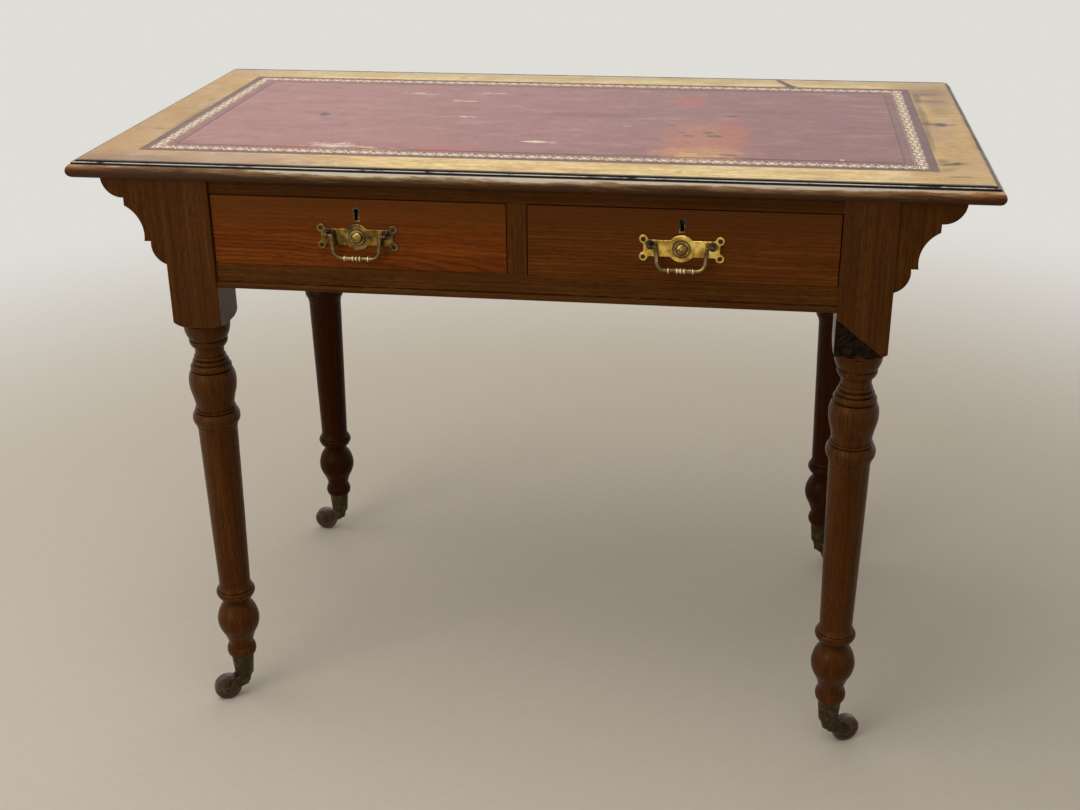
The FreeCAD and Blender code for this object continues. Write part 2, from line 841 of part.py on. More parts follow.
def handle_posts():
    posts = []
    for x in post_places():
        seat = Vector(x, plate_front_y + plate_recess_depth, pivot_z)
        eye = Vector(x, pivot_y, pivot_z)
        foot = rod(post_foot_radius, seat, seat - Vector(0, post_foot_height, 0))
        post = union([foot, rod(post_radius, seat, eye), Part.makeSphere(post_eye_radius, eye)])
        hole_reach = Vector(post_eye_radius + cut_overrun, 0, 0)
        posts.append(post.cut(rod(bail_pin_radius + bail_pin_gap, eye - hole_reach, eye + hole_reach)))
    return Part.makeCompound(posts)


def handle_screws(gap):
    screws = []
    for place in ear_places():
        body = screw(
            place,
            y_axis,
            handle_screw_radius + gap,
            handle_screw_head_radius + gap,
            handle_screw_head_height,
            handle_screw_length + gap,
        )
        if gap == 0:
            slot_half = screw_slot_width / 2
            reach = handle_screw_head_radius
            x_span = (place.x - reach, place.x + reach)
            y_span = (place.y - cut_overrun, place.y + screw_slot_depth)
            body = body.cut(block(x_span, y_span, (place.z - slot_half, place.z + slot_half)))
        screws.append(body)
    return Part.makeCompound(screws)


def handle_bail():
    # A bent rod that hangs from two turned-out pins, with turned rings along its grip.
    half = bail_arm_spacing / 2
    grip_z = pivot_z - bail_drop

    def point(x, z):
        return Vector(x, pivot_y, z)

    # The arms lean in a little, and each bend is tangent to its arm and to the grip.
    arm_top = point(half, pivot_z)
    corner = point(half - bail_arm_lean, grip_z)
    arm = (arm_top - corner).normalize()
    bend_reach = bail_bend_radius * math.tan(arm.getAngle(x_axis) / 2)
    arm_foot = corner + arm * bend_reach
    grip_end = corner - x_axis * bend_reach
    bend_centre = grip_end + z_axis * bail_bend_radius
    bend_middle = bend_centre + (corner - bend_centre).normalize() * bail_bend_radius

    def across(place):
        return point(-place.x, place.z)

    path = Part.Wire(
        [
            Part.LineSegment(across(arm_top), across(arm_foot)).toShape(),
            Part.Arc(across(arm_foot), across(bend_middle), across(grip_end)).toShape(),
            Part.LineSegment(across(grip_end), grip_end).toShape(),
            Part.Arc(grip_end, bend_middle, arm_foot).toShape(),
            Part.LineSegment(arm_foot, arm_top).toShape(),
        ]
    )
    upward = across(arm_top) - across(arm_foot)
    section = Part.Wire(Part.Circle(across(arm_top), upward, bail_radius).toShape())
    pieces = [path.makePipeShell([section], True, False)]
    for side in (-1, 1):
        elbow = point(side * half, pivot_z)
        pieces.append(Part.makeSphere(bail_radius, elbow))
        pieces.append(rod(bail_pin_radius, elbow, elbow + x_axis * (side * bail_pin_length)))
    grip_half = bail_grip_length / 2
    pieces.append(rod(bail_grip_radius, point(-grip_half, grip_z), point(grip_half, grip_z)))
    for share in bail_ring_shares:
        centre = point(share * bail_grip_length, grip_z)
        pieces.append(Part.makeTorus(bail_ring_radius, bail_ring_wire, centre, x_axis))
    return union(pieces)


def castor_cup():
    floor_z = cup_foot_height + cup_floor
    outside = cup_cone(0, cup_foot_height, cup_rim_height)
    inside = cup_cone(cup_wall, floor_z, cup_rim_height)
    hole_reach = Vector(0, 0, cut_overrun)
    start = Vector(0, 0, cup_foot_height)
    hole = rod(swivel_pin_radius + running_gap, start - hole_reach, start + hole_reach)
    return outside.cut(inside).cut(hole)


def horn_cheek(side):
    y_span = (side * cheek_inner, side * cheek_outer)
    y = min(y_span)
    along = Vector(0, horn_cheek_thickness, 0)
    boss_foot_z = horn_top_z - horn_boss_height
    back_x = -horn_boss_foot_radius / 2
    front_x = horn_boss_foot_radius
    start = Vector(back_x, y, horn_top_z)
    steps = (
        (Vector(front_x, y, horn_top_z),),
        (Vector(wheel_trail + horn_eye_radius * quarter_share, y, axle_z + horn_eye_radius * quarter_share),),
        (Vector(wheel_trail - horn_eye_radius * quarter_share, y, axle_z - horn_eye_radius * quarter_share),),
        (Vector(back_x, y, boss_foot_z),),
    )
    eye = Part.makeCylinder(horn_eye_radius, horn_cheek_thickness, Vector(wheel_trail, y, axle_z), y_axis)
    return prism(start, steps, along).fuse(eye)


def castor_horn():
    # Swivel boss and pin, and two cheeks that carry the axle behind the swivel.
    boss_foot = Vector(0, 0, horn_top_z - horn_boss_height)
    boss = Part.makeCone(horn_boss_foot_radius, horn_boss_radius, horn_boss_height, boss_foot)
    head_z = cup_foot_height + cup_floor + swivel_gap
    head_foot = Vector(0, 0, head_z)
    pin = rod(swivel_pin_radius, boss_foot, head_foot)
    head = rod(swivel_head_radius, head_foot, head_foot + Vector(0, 0, swivel_head_height))
    horn = union([boss, horn_cheek(-1), horn_cheek(1)])
    side_reach = Vector(0, cheek_inner, 0)
    centre = Vector(wheel_trail, 0, axle_z)
    wheel_room = rod(wheel_radius + wheel_rim_gap, centre - side_reach, centre + side_reach)
    axle_reach = Vector(0, cheek_outer, 0)
    axle_hole = rod(axle_radius + running_gap, centre - axle_reach, centre + axle_reach)
    horn = union([horn.cut(wheel_room).cut(axle_hole), pin, head])
    return Part.makeCompound([horn, castor_axle()])


def castor_axle():
    centre = Vector(wheel_trail, 0, axle_z)
    reach = Vector(0, cheek_outer, 0)
    head = Vector(0, axle_head_height, 0)
    pieces = [rod(axle_radius, centre - reach - head, centre + reach + head)]
    for side in (-1, 1):
        start = centre + reach * side
        pieces.append(rod(axle_head_radius, start, start + head * side))
    return union(pieces)


def castor_wheel():
    centre = Vector(wheel_trail, 0, axle_z)
    half = Vector(0, wheel_width / 2, 0)
    tread = rod(wheel_radius, centre - half, centre + half)
    rims = [edge for edge in tread.Edges if isinstance(edge.Curve, Part.Circle)]
    wheel = tread.makeFillet(wheel_edge_radius, rims)
    bore = rod(axle_radius + running_gap, centre - half, centre + half)
    recess = Vector(0, wheel_hub_recess, 0)
    cutters = [bore]
    for side in (-1, 1):
        face = centre + half * side
        ring = rod(wheel_radius - wheel_edge_radius * 2, face, face - recess * side)
        cutters.append(ring.cut(rod(wheel_hub_radius, face, face - recess * side)))
    return wheel.cut(cutters)


def set_castor(shape, corner):
    x, y = leg_places[corner]
    shape.rotate(Vector(), z_axis, castor_angles[corner])
    shape.translate(Vector(x, y, 0))
    return shape


def save(shape, name):
    shape.exportStep(os.path.join("parts", name + ".step"))


def build_frame():
    rails = [front_top_rail, front_bottom_rail, back_rail]
    mortise_length = rail_tenon_length + mortise_end_gap
    right_side = side_rail(rail_tenon_length)
    side_cutter = side_rail(mortise_length)
    cutters = [rail(mortise_length) for rail in rails] + [side_cutter, mirrored(side_cutter)]
    for corner in leg_places:
        tongue_cutter = bracket(corner, bracket_tongue_length + mortise_end_gap)
        save(leg(corner, cutters + [tongue_cutter]), "leg_" + corner)
        save(bracket(corner, bracket_tongue_length), "bracket_" + corner)
        cup = castor_cup()
        cup.translate(Vector(*leg_places[corner], 0))
        save(cup, "castor_cup_" + corner)
        save(set_castor(castor_horn(), corner), "castor_horn_" + corner)
        save(set_castor(castor_wheel(), corner), "castor_wheel_" + corner)
    divider_cutter = drawer_divider(divider_tenon_length + mortise_end_gap)
    save(front_top_rail(rail_tenon_length).cut([divider_cutter, bolt_mortises()]), "front_top_rail")
    save(front_bottom_rail(rail_tenon_length).cut(divider_cutter), "front_bottom_rail")
    save(drawer_divider(divider_tenon_length), "drawer_divider")
    save(back_rail(rail_tenon_length), "back_rail")
    save(right_side, "side_rail_right")
    save(mirrored(right_side), "side_rail_left")
    save(table_top(), "table_top")
    save(leather_block(0), "leather_inset")
    save(drawer_runners(), "drawer_runners")
    save(drawer_guides(), "drawer_guides")
    save(drawer_kickers(), "drawer_kickers")
    save(drawer_stops(), "drawer_stops")
    save(top_screws(0), "top_fixing_screws")


def build_drawers():
    pieces = {
        "front": drawer_front(),
        "side_left": drawer_side(-1),
        "side_right": drawer_side(1),
        "back": drawer_back(),
        "bottom": bottom_panel(0),
        "escutcheon": escutcheon(),
        "lock_case": lock_case(),
        "lock_bolt": lock_bolt(),
        "handle_plate": handle_plate(),
        "handle_boss": handle_boss(),
        "handle_posts": handle_posts(),
        "handle_screws": handle_screws(0),
        "handle_bail": handle_bail(),
    }
    for name, shape in pieces.items():
        save(shape.translated(Vector(-drawer_x, 0, 0)), "drawer_left_" + name)
        save(shape.translated(Vector(drawer_x, 0, 0)), "drawer_right_" + name)


os.makedirs("parts", exist_ok=True)
build_frame()
build_drawers()
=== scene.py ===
import bpy
import math
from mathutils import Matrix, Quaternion, Vector


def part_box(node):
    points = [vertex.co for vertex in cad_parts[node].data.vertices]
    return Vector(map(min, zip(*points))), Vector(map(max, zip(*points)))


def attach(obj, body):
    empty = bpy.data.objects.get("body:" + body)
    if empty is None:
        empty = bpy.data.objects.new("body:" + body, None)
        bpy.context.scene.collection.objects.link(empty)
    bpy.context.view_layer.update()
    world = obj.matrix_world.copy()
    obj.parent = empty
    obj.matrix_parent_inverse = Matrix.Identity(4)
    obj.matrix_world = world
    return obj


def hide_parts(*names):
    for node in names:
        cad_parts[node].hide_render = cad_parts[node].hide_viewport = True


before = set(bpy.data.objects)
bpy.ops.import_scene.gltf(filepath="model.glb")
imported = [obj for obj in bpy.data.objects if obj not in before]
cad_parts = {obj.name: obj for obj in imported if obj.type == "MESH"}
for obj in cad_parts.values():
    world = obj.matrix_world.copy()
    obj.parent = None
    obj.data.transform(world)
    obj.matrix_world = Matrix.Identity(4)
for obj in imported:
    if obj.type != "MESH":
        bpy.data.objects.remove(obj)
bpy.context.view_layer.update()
print("frame loaded:", len(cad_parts), "CAD nodes")


# small helpers for building node trees

def setInputs(tree, node, inputs):
    for key, value in inputs.items():
        if isinstance(value, bpy.types.NodeSocket):
            tree.links.new(value, node.inputs[key])
        else:
            node.inputs[key].default_value = value


def addNode(tree, kind, inputs=None, **settings):
    node = tree.nodes.new("ShaderNode" + kind)
    for key, value in settings.items():
        setattr(node, key, value)
    setInputs(tree, node, inputs or {})
    return node


def calc(tree, operation, first, second=0.0, third=0.0, clamp=False):
    inputs = {0: first, 1: second, 2: third}
    return addNode(tree, "Math", inputs, operation=operation, use_clamp=clamp).outputs[0]


def vectorCalc(tree, operation, first, second):
    return addNode(tree, "VectorMath", {0: first, 1: second}, operation=operation).outputs[0]


def opaque(colour):
    return colour if isinstance(colour, bpy.types.NodeSocket) else (*colour, 1.0)


def mixColour(tree, factor, first, second, blend="MIX"):
    inputs = {0: factor, 6: opaque(first), 7: opaque(second)}  # the colour sockets of a Mix node
    return addNode(tree, "Mix", inputs, data_type="RGBA", blend_type=blend).outputs[2]


def stretch(tree, vector, scale, turn=(0, 0, 0), shift=(0, 0, 0)):
    inputs = {"Vector": vector, "Scale": scale, "Rotation": turn, "Location": shift}
    return addNode(tree, "Mapping", inputs).outputs[0]


def noise(tree, vector, scale, detail, roughness):
    inputs = {"Vector": vector, "Scale": scale, "Detail": detail, "Roughness": roughness}
    return addNode(tree, "TexNoise", inputs).outputs["Fac"]


def scaledNoise(tree, vector, scales, detail, roughness):
    # one scale for each axis
    return noise(tree, stretch(tree, vector, scales), 1.0, detail, roughness)


def smoothRange(tree, value, low, high, toLow=0.0, toHigh=1.0):
    inputs = {"Value": value, "From Min": low, "From Max": high, "To Min": toLow, "To Max": toHigh}
    return addNode(tree, "MapRange", inputs, interpolation_type="SMOOTHSTEP").outputs["Result"]


def ramp(tree, value, stops):
    node = addNode(tree, "ValToRGB", {"Fac": value})
    band = node.color_ramp
    while len(band.elements) < len(stops):
        band.elements.new(0.5)
    for element, (place, colour) in zip(band.elements, stops):
        element.position = place
        element.color = opaque(colour)
    return node.outputs["Color"]


def axes(tree, vector):
    return addNode(tree, "SeparateXYZ", {0: vector}).outputs


def newGroup(name, inputs, outputs):
    group = bpy.data.node_groups.new(name, "ShaderNodeTree")
    for label, kind, value in inputs:
        socket = group.interface.new_socket(label, in_out="INPUT", socket_type="NodeSocket" + kind)
        if value is not None:
            socket.default_value = value
    for label, kind in outputs:
        group.interface.new_socket(label, in_out="OUTPUT", socket_type="NodeSocket" + kind)
    return group, group.nodes.new("NodeGroupInput").outputs, group.nodes.new("NodeGroupOutput").inputs


def placeGroup(tree, group, inputs):
    node = tree.nodes.new("ShaderNodeGroup")
    node.node_tree = group
    setInputs(tree, node, inputs)
    return node.outputs


def newMaterial(name, specular=0.5):
    material = bpy.data.materials.new(name)
    material.use_nodes = True
    tree = material.node_tree
    tree.nodes.clear()
    shader = addNode(tree, "BsdfPrincipled", {"Specular IOR Level": specular})
    output = addNode(tree, "OutputMaterial")
    tree.links.new(shader.outputs["BSDF"], output.inputs["Surface"])
    place = addNode(tree, "TexCoord").outputs["Object"]
    return material, tree, shader, place


def finishShader(tree, shader, colour, roughness, height=None, depth=0.0002):
    tree.links.new(colour, shader.inputs["Base Color"])
    tree.links.new(roughness, shader.inputs["Roughness"])
    if height is not None:
        bump = addNode(tree, "Bump", {"Height": height, "Distance": depth, "Strength": 1.0})
        tree.links.new(bump.outputs["Normal"], shader.inputs["Normal"])


# shared effects

def makeOakGrain():
    # growth rings cut on a slant, long dark pores and broad streaks, with the grain along X
    tree, given, made = newGroup(
        "oakGrain",
        [("Vector", "Vector", None), ("Rings", "Float", 190.0), ("Slant", "Float", 0.0),
         ("Wander", "Float", 0.02), ("Run", "Float", 1.6), ("Fret", "Float", 0.001)],
        [("Ring", "Float"), ("Pore", "Float"), ("Streak", "Float")])
    place = given["Vector"]
    run = addNode(tree, "CombineXYZ", {"X": given["Run"], "Y": 9.0, "Z": 9.0}).outputs[0]
    slow = noise(tree, vectorCalc(tree, "MULTIPLY", place, run), 1.0, 2.0, 0.5)  # broad waver of the rings
    quick = scaledNoise(tree, place, (14, 90, 90), 2.0, 0.5)  # their fine waver
    along, across, up = axes(tree, place)[:3]
    lean = calc(tree, "MULTIPLY", along, given["Slant"])
    span = calc(tree, "MULTIPLY_ADD", across, across, calc(tree, "MULTIPLY", up, up))
    span = calc(tree, "SQRT", calc(tree, "MULTIPLY_ADD", lean, lean, span))
    bent = calc(tree, "MULTIPLY_ADD", calc(tree, "SUBTRACT", slow, 0.5), given["Wander"], span)
    bent = calc(tree, "MULTIPLY_ADD", calc(tree, "SUBTRACT", quick, 0.5), given["Fret"], bent)
    turn = calc(tree, "FRACT", calc(tree, "MULTIPLY", bent, given["Rings"]))
    late = calc(tree, "MULTIPLY", calc(tree, "POWER", turn, 3.0), smoothRange(tree, turn, 1.0, 0.84))
    tree.links.new(late, made["Ring"])
    pores = scaledNoise(tree, place, (70, 1100, 1100), 2.0, 0.6)
    pores = smoothRange(tree, calc(tree, "MULTIPLY_ADD", turn, -0.07, pores), 0.47, 0.36)
    tree.links.new(pores, made["Pore"])
    tree.links.new(scaledNoise(tree, place, (6, 210, 210), 5.0, 0.65), made["Streak"])
    return tree


def makeEdgeWear():
    # rubbed arrises: where the rounded normal leaves the true one, broken up by noise
    tree, given, made = newGroup(
        "edgeWear",
        [("Vector", "Vector", None), ("Radius", "Float", 0.0016), ("Patch", "Float", 38.0)],
        [("Mask", "Float")])
    rounded = addNode(tree, "Bevel", {"Radius": given["Radius"]}, samples=6).outputs[0]
    true = addNode(tree, "NewGeometry").outputs["Normal"]
    apart = addNode(tree, "VectorMath", {0: rounded, 1: true}, operation="DOT_PRODUCT").outputs["Value"]
    edge = smoothRange(tree, apart, 0.99, 0.80)
    patch = smoothRange(tree, noise(tree, given["Vector"], given["Patch"], 4.0, 0.65), 0.46, 0.68)
    tree.links.new(calc(tree, "MULTIPLY", edge, patch), made["Mask"])
    return tree


def makeGrimeAndShade():
    # dirt and patina held in hollows, with painted shade: an ambient-occlusion mask darkens grooves, recesses
    # and inside corners
    tree, given, made = newGroup(
        "grimeAndShade",
        [("Vector", "Vector", None), ("Reach", "Float", 0.006), ("Scale", "Float", 300.0)],
        [("Mask", "Float")])
    openness = addNode(tree, "AmbientOcclusion", {"Distance": given["Reach"]}, samples=8, only_local=True)
    patch = noise(tree, given["Vector"], given["Scale"], 4.0, 0.6)
    held = calc(tree, "MULTIPLY_ADD", calc(tree, "SUBTRACT", patch, 0.5), 0.5, openness.outputs["AO"])
    tree.links.new(smoothRange(tree, held, 0.85, 0.35), made["Mask"])
    return tree


def makeSoftSpot():
    # an oval spot with a ragged rim, 1 in its middle, turned about its centre
    tree, given, made = newGroup(
        "softSpot",
        [("Vector", "Vector", None), ("Centre", "Vector", None), ("Reach", "Vector", None),
         ("Turn", "Float", 0.0), ("Ragged", "Float", 0.6), ("Scale", "Float", 60.0)],
        [("Mask", "Float")])
    apart = vectorCalc(tree, "SUBTRACT", given["Vector"], given["Centre"])
    apart = addNode(tree, "VectorRotate", {"Vector": apart, "Angle": given["Turn"]},
                    rotation_type="Z_AXIS", invert=True).outputs[0]
    apart = vectorCalc(tree, "DIVIDE", apart, given["Reach"])
    far = addNode(tree, "VectorMath", {0: apart}, operation="LENGTH").outputs["Value"]
    rough = noise(tree, given["Vector"], given["Scale"], 5.0, 0.65)
    far = calc(tree, "MULTIPLY_ADD", calc(tree, "SUBTRACT", rough, 0.5), given["Ragged"], far)
    tree.links.new(smoothRange(tree, far, 1.0, 0.3), made["Mask"])
    return tree


oakGrain = makeOakGrain()
edgeWear = makeEdgeWear()
grimeAndShade = makeGrimeAndShade()
softSpot = makeSoftSpot()
spotDeep = 0.02  # every spot reaches this far through the surface


def spotMask(tree, place, centre, reach, degrees, ragged, scale):
    return placeGroup(tree, softSpot, {
        "Vector": place, "Centre": centre, "Reach": (*reach, spotDeep), "Turn": math.radians(degrees),
        "Ragged": ragged, "Scale": scale})["Mask"]


print("shared effects ready")


# dark polished oak of the frame and the redder drawer fronts

quarterTurn = math.pi / 2
alongX = (0, 0, 0)
alongY = (0, 0, quarterTurn)
alongZ = (0, quarterTurn, 0)


def grainMasks(tree, turned, look):
    return placeGroup(tree, oakGrain, {
        "Vector": turned, "Rings": look["rings"], "Slant": look["slant"], "Wander": look["wander"],
        "Run": look["run"], "Fret": look["fret"]})[:3]


def makeOak(name, look):
    material, tree, shader, place = newMaterial(name, specular=look["gloss"])
    shader.inputs["Specular Tint"].default_value = opaque(look["sheen"])
    turned = stretch(tree, place, (1, 1, 1), look["grain"], look["pith"])
    ring, pore, streak = grainMasks(tree, turned, look)
    colour = ramp(tree, streak, [(0.30, look["shade"]), (0.52, look["body"]), (0.74, look["light"])])
    # the rings show in some places more than in others
    drawn = scaledNoise(tree, turned, look["drawnScale"], 2.0, 0.5)
    drawn = calc(tree, "MULTIPLY", smoothRange(tree, drawn, 0.36, 0.60, 0.35, 1.0), look["ringStrength"])
    up = axes(tree, place)[2]
    if "plainAbove" in look:
        drawn = calc(tree, "MULTIPLY", drawn, smoothRange(tree, up, *look["plainAbove"], 1.0, 0.2))
    colour = mixColour(tree, calc(tree, "MULTIPLY", ring, drawn), colour, look["late"])
    colour = mixColour(tree, calc(tree, "MULTIPLY", pore, look["poreStrength"]), colour, look["pore"])
    cloud = smoothRange(tree, noise(tree, place, 7.0, 3.0, 0.6), 0.35, 0.7, 0.0, 0.4)
    colour = mixColour(tree, cloud, colour, look["shade"])
    # painted shade with dirt: the hollow mask darkens grooves and inside corners toward the near-black dirt
    # colour
    held = placeGroup(tree, grimeAndShade, {
        "Vector": place, "Reach": look["grimeShadeReach"], "Scale": look["grimeShadeScale"]})["Mask"]
    colour = mixColour(tree, calc(tree, "MULTIPLY", held, 0.85), colour, look["dirt"])
    # painted shadow: the drawer fronts darken toward their top, where the rail above shades them
    if "railShadowFrom" in look:
        railShadowMask = smoothRange(tree, up, *look["railShadowFrom"], 0.0, 0.75)
        colour = mixColour(tree, railShadowMask, colour, look["railShadow"])
    scratch = scaledNoise(tree, turned, look["scratchScale"], 2.0, 0.6)
    scratch = smoothRange(tree, scratch, 0.70, 0.76)
    scratch = calc(tree, "MULTIPLY", scratch, smoothRange(tree, streak, 0.5, 0.62))
    worn = placeGroup(tree, edgeWear, {"Vector": place})["Mask"]
    worn = calc(tree, "MAXIMUM", worn, calc(tree, "MULTIPLY", scratch, 0.45))
    colour = mixColour(tree, calc(tree, "MULTIPLY", worn, look["wear"]), colour, look["bare"])
    rough = smoothRange(tree, noise(tree, turned, 22.0, 4.0, 0.6), 0.3, 0.7, *look["rough"])
    height = calc(tree, "MULTIPLY_ADD", pore, -1.0, calc(tree, "MULTIPLY", ring, -0.35))
    finishShader(tree, shader, colour, rough, height, look["poreDeep"])
    return material


frameOak = {
    "grain": alongX, "pith": (0, 0.11, 0.31), "gloss": 0.08, "sheen": (1.0, 0.72, 0.42),
    "rings": 210.0, "slant": 0.01, "wander": 0.02, "run": 1.5, "fret": 0.0012,
    "shade": (0.052, 0.0160, 0.0023), "body": (0.090, 0.0285, 0.0041), "light": (0.136, 0.049, 0.0092),
    "late": (0.036, 0.0110, 0.0020), "pore": (0.014, 0.005, 0.0012), "bare": (0.24, 0.115, 0.040),
    "ringStrength": 0.45, "poreStrength": 0.5, "wear": 0.55, "rough": (0.34, 0.52),
    "dirt": (0.007, 0.003, 0.0010), "grimeShadeReach": 0.012, "grimeShadeScale": 90.0,
    "drawnScale": (5, 24, 24), "scratchScale": (45, 420, 420), "poreDeep": 0.00012,
}
uprightOak = dict(frameOak, grain=alongZ, pith=(0.2, 0.17, 0.23))
deepOak = dict(frameOak, grain=alongY, pith=(0.1, 0.21, 0.13))
legOak = dict(
    frameOak, grain=alongZ, pith=(0.2, 0.02, 0.03), gloss=0.12,
    ringStrength=0.3, wear=0.5, rough=(0.20, 0.34),
    shade=(0.046, 0.0125, 0.0017), body=(0.078, 0.0225, 0.0028), light=(0.108, 0.036, 0.0055))
# painted shade: the back legs are a darker copy of the leg oak, as they stand in the shade under the top
backLegShadowOak = dict(
    legOak, gloss=0.06,
    shade=(0.020, 0.0045, 0.0008), body=(0.033, 0.0075, 0.0012), light=(0.047, 0.012, 0.0022))
bracketOak = dict(
    uprightOak, shade=(0.044, 0.0130, 0.0018), body=(0.072, 0.0215, 0.0029), light=(0.100, 0.034, 0.0060))
shadedOak = dict(
    frameOak, shade=(0.036, 0.0100, 0.0015), body=(0.066, 0.0190, 0.0025), light=(0.094, 0.031, 0.0055))
leftDrawerOak = dict(
    frameOak, pith=(0.3190, 0.2845, -0.6230), rings=210.0, slant=0.105, wander=0.012, run=12.0, fret=0.0012,
    ringStrength=1.0, poreStrength=0.4,
    plainAbove=(0.660, 0.686), railShadowFrom=(0.660, 0.708), railShadow=(0.095, 0.0290, 0.0042),
    shade=(0.118, 0.0240, 0.0024), body=(0.172, 0.0375, 0.0036), light=(0.232, 0.058, 0.0072),
    late=(0.046, 0.0100, 0.0014), wear=0.3)
rightDrawerOak = dict(
    leftDrawerOak, pith=(-0.1, 0.12, -0.42), rings=270.0, slant=0.02, wander=0.010, run=1.4, fret=0.0010,
    ringStrength=0.9, plainAbove=(0.9, 1.0), railShadow=(0.080, 0.0240, 0.0036),
    shade=(0.080, 0.0205, 0.0025), body=(0.126, 0.0335, 0.0042), light=(0.178, 0.053, 0.0086))
insideWood = dict(
    frameOak, grain=alongX, gloss=0.15, sheen=(1.0, 1.0, 1.0), rings=120.0, wander=0.04,
    shade=(0.19, 0.115, 0.058), body=(0.30, 0.19, 0.10), light=(0.38, 0.25, 0.14),
    late=(0.17, 0.10, 0.05), pore=(0.11, 0.065, 0.032), bare=(0.42, 0.29, 0.17),
    ringStrength=0.5, wear=0.3, rough=(0.6, 0.8))
insideDeep = dict(insideWood, grain=alongY)
oakLooks = {
    "frameOak": frameOak, "uprightOak": uprightOak, "deepOak": deepOak, "legOak": legOak,
    "backLegShadowOak": backLegShadowOak, "bracketOak": bracketOak, "shadedOak": shadedOak,
    "leftDrawerOak": leftDrawerOak, "rightDrawerOak": rightDrawerOak,
    "insideWood": insideWood, "insideDeep": insideDeep,
}
finishes = {label: makeOak(label, look) for label, look in oakLooks.items()}
print("oak finishes ready")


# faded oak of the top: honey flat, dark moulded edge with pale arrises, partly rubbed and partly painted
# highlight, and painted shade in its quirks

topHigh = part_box("table_top")[1]
fadedTop = {
    "gloss": 0.14, "pith": (0.0, 0.33, -0.71), "ringStrength": 0.22,
    "rings": 170.0, "slant": 0.03, "wander": 0.03, "run": 4.0, "fret": 0.006,
    "patchScale": (11, 26, 1), "mottleScale": (45, 80, 1), "fleckScale": (75, 520, 1),
    "noseBandScale": (12, 12, 150), "ledgeScale": (16, 16, 1), "poreDeep": 0.00010,
    "endsFrom": (0.40, 0.485), "backFrom": (0.222, 0.26), "rimFrom": (-0.005, 0.0),
    "arrisIn": 0.010, "arrisFrom": (-0.0009, 0.0001), "longArris": 0.0042, "flatDown": (0.0002, 0.0005),
    "ledgeOut": (0.0006, 0.0012), "stepDown": (0.0019, 0.0021), "noseOut": (0.0054, 0.0064),
    "noseSide": (0.008, 0.009), "noseTop": (0.0030, 0.0034), "noseDown": (0.0034, 0.0165),
    "noseBandReach": 0.020, "leftFrom": (-0.20, -0.36), "leftDrop": 0.0032, "tipFrom": (0.40, 0.53),
    "shade": (0.58, 0.355, 0.112), "body": (0.89, 0.635, 0.262), "light": (0.95, 0.770, 0.385),
    "orange": (0.56, 0.290, 0.078), "ends": (0.56, 0.315, 0.105), "far": (0.52, 0.395, 0.235),
    "late": (0.36, 0.205, 0.080), "pore": (0.21, 0.12, 0.048), "grey": (0.20, 0.16, 0.12),
    # painted light on the moulded edge: endDark and shadedHollow are painted shade with some dirt in the
    # quirk and step; ledge and rubbed are pale with wear and painted highlight
    "ink": (0.050, 0.033, 0.022), "blush": (0.41, 0.240, 0.140), "endDark": (0.085, 0.060, 0.042),
    "shadedHollow": (0.012, 0.007, 0.0045), "ledge": (0.66, 0.590, 0.500), "rubbed": (0.56, 0.470, 0.360),
    # painted light: noseTan and noseBrown grade down the nose to noseUndersideShade, painted shade on its
    # underside
    "noseTan": (0.300, 0.185, 0.088), "noseBrown": (0.180, 0.090, 0.034), "noseUndersideShade": (0.052, 0.021, 0.0062),
    "blushes": (  # centre, reach and strength of the browner parts of the border
        ((-0.370, -0.262), (0.230, 0.070), 0.90), ((-0.500, -0.080), (0.075, 0.300), 0.30),
        ((0.495, 0.190), (0.060, 0.090), 0.55), ((0.480, -0.030), (0.030, 0.080), 0.45),
    ),
    "stains": (  # centre, reach, turn in degrees, strength of the dark marks on the border
        ((0.2975, 0.2470), (0.0066, 0.0400), 22, 1.0), ((0.3060, 0.2290), (0.0130, 0.0100), 0, 0.9),
        ((0.4890, 0.0095), (0.0120, 0.0150), 0, 1.0), ((0.4740, 0.0120), (0.0170, 0.0060), -12, 0.7),
        ((0.5030, 0.0110), (0.0100, 0.0060), 20, 0.6), ((0.4820, -0.1880), (0.0190, 0.0048), 28, 1.0),
        ((0.4890, -0.1850), (0.0060, 0.0080), 0, 0.8), ((0.4860, -0.2430), (0.0210, 0.0060), 0, 0.5),
        ((0.4720, 0.1700), (0.0075, 0.0450), 0, 0.55), ((0.4680, -0.0700), (0.0055, 0.0900), 0, 0.45),
        ((0.4880, 0.1900), (0.0260, 0.0100), 10, 0.4), ((-0.4825, -0.1130), (0.0110, 0.0050), 0, 0.5),
        ((-0.4780, 0.0600), (0.0080, 0.0060), 0, 0.35), ((-0.4690, -0.0300), (0.0045, 0.1500), 0, 0.3),
        ((0.1800, -0.2560), (0.0060, 0.0030), 0, 0.6), ((-0.2600, -0.2450), (0.0150, 0.0022), 0, 0.35),
        ((0.3350, -0.2500), (0.0120, 0.0030), 0, 0.35), ((-0.0600, -0.2570), (0.0220, 0.0030), 0, 0.3),
        ((-0.4700, -0.2650), (0.1300, 0.0280), 0, 0.28), ((0.4700, -0.2150), (0.0240, 0.0120), 30, 0.3),
        ((0.4870, 0.2050), (0.0460, 0.0380), 0, 0.30), ((0.4980, 0.1150), (0.0240, 0.0700), 0, 0.25),
        ((0.4730, -0.1780), (0.0100, 0.0190), 0, 0.50), ((0.4830, 0.1480), (0.0260, 0.0110), 0, 0.45),
        ((-0.4950, 0.0000), (0.0700, 0.6000), 0, 0.10), ((0.4700, 0.0600), (0.0080, 0.1300), 0, 0.50),
        ((0.4840, -0.1880), (0.0300, 0.0130), 20, 0.35),
    ),
}


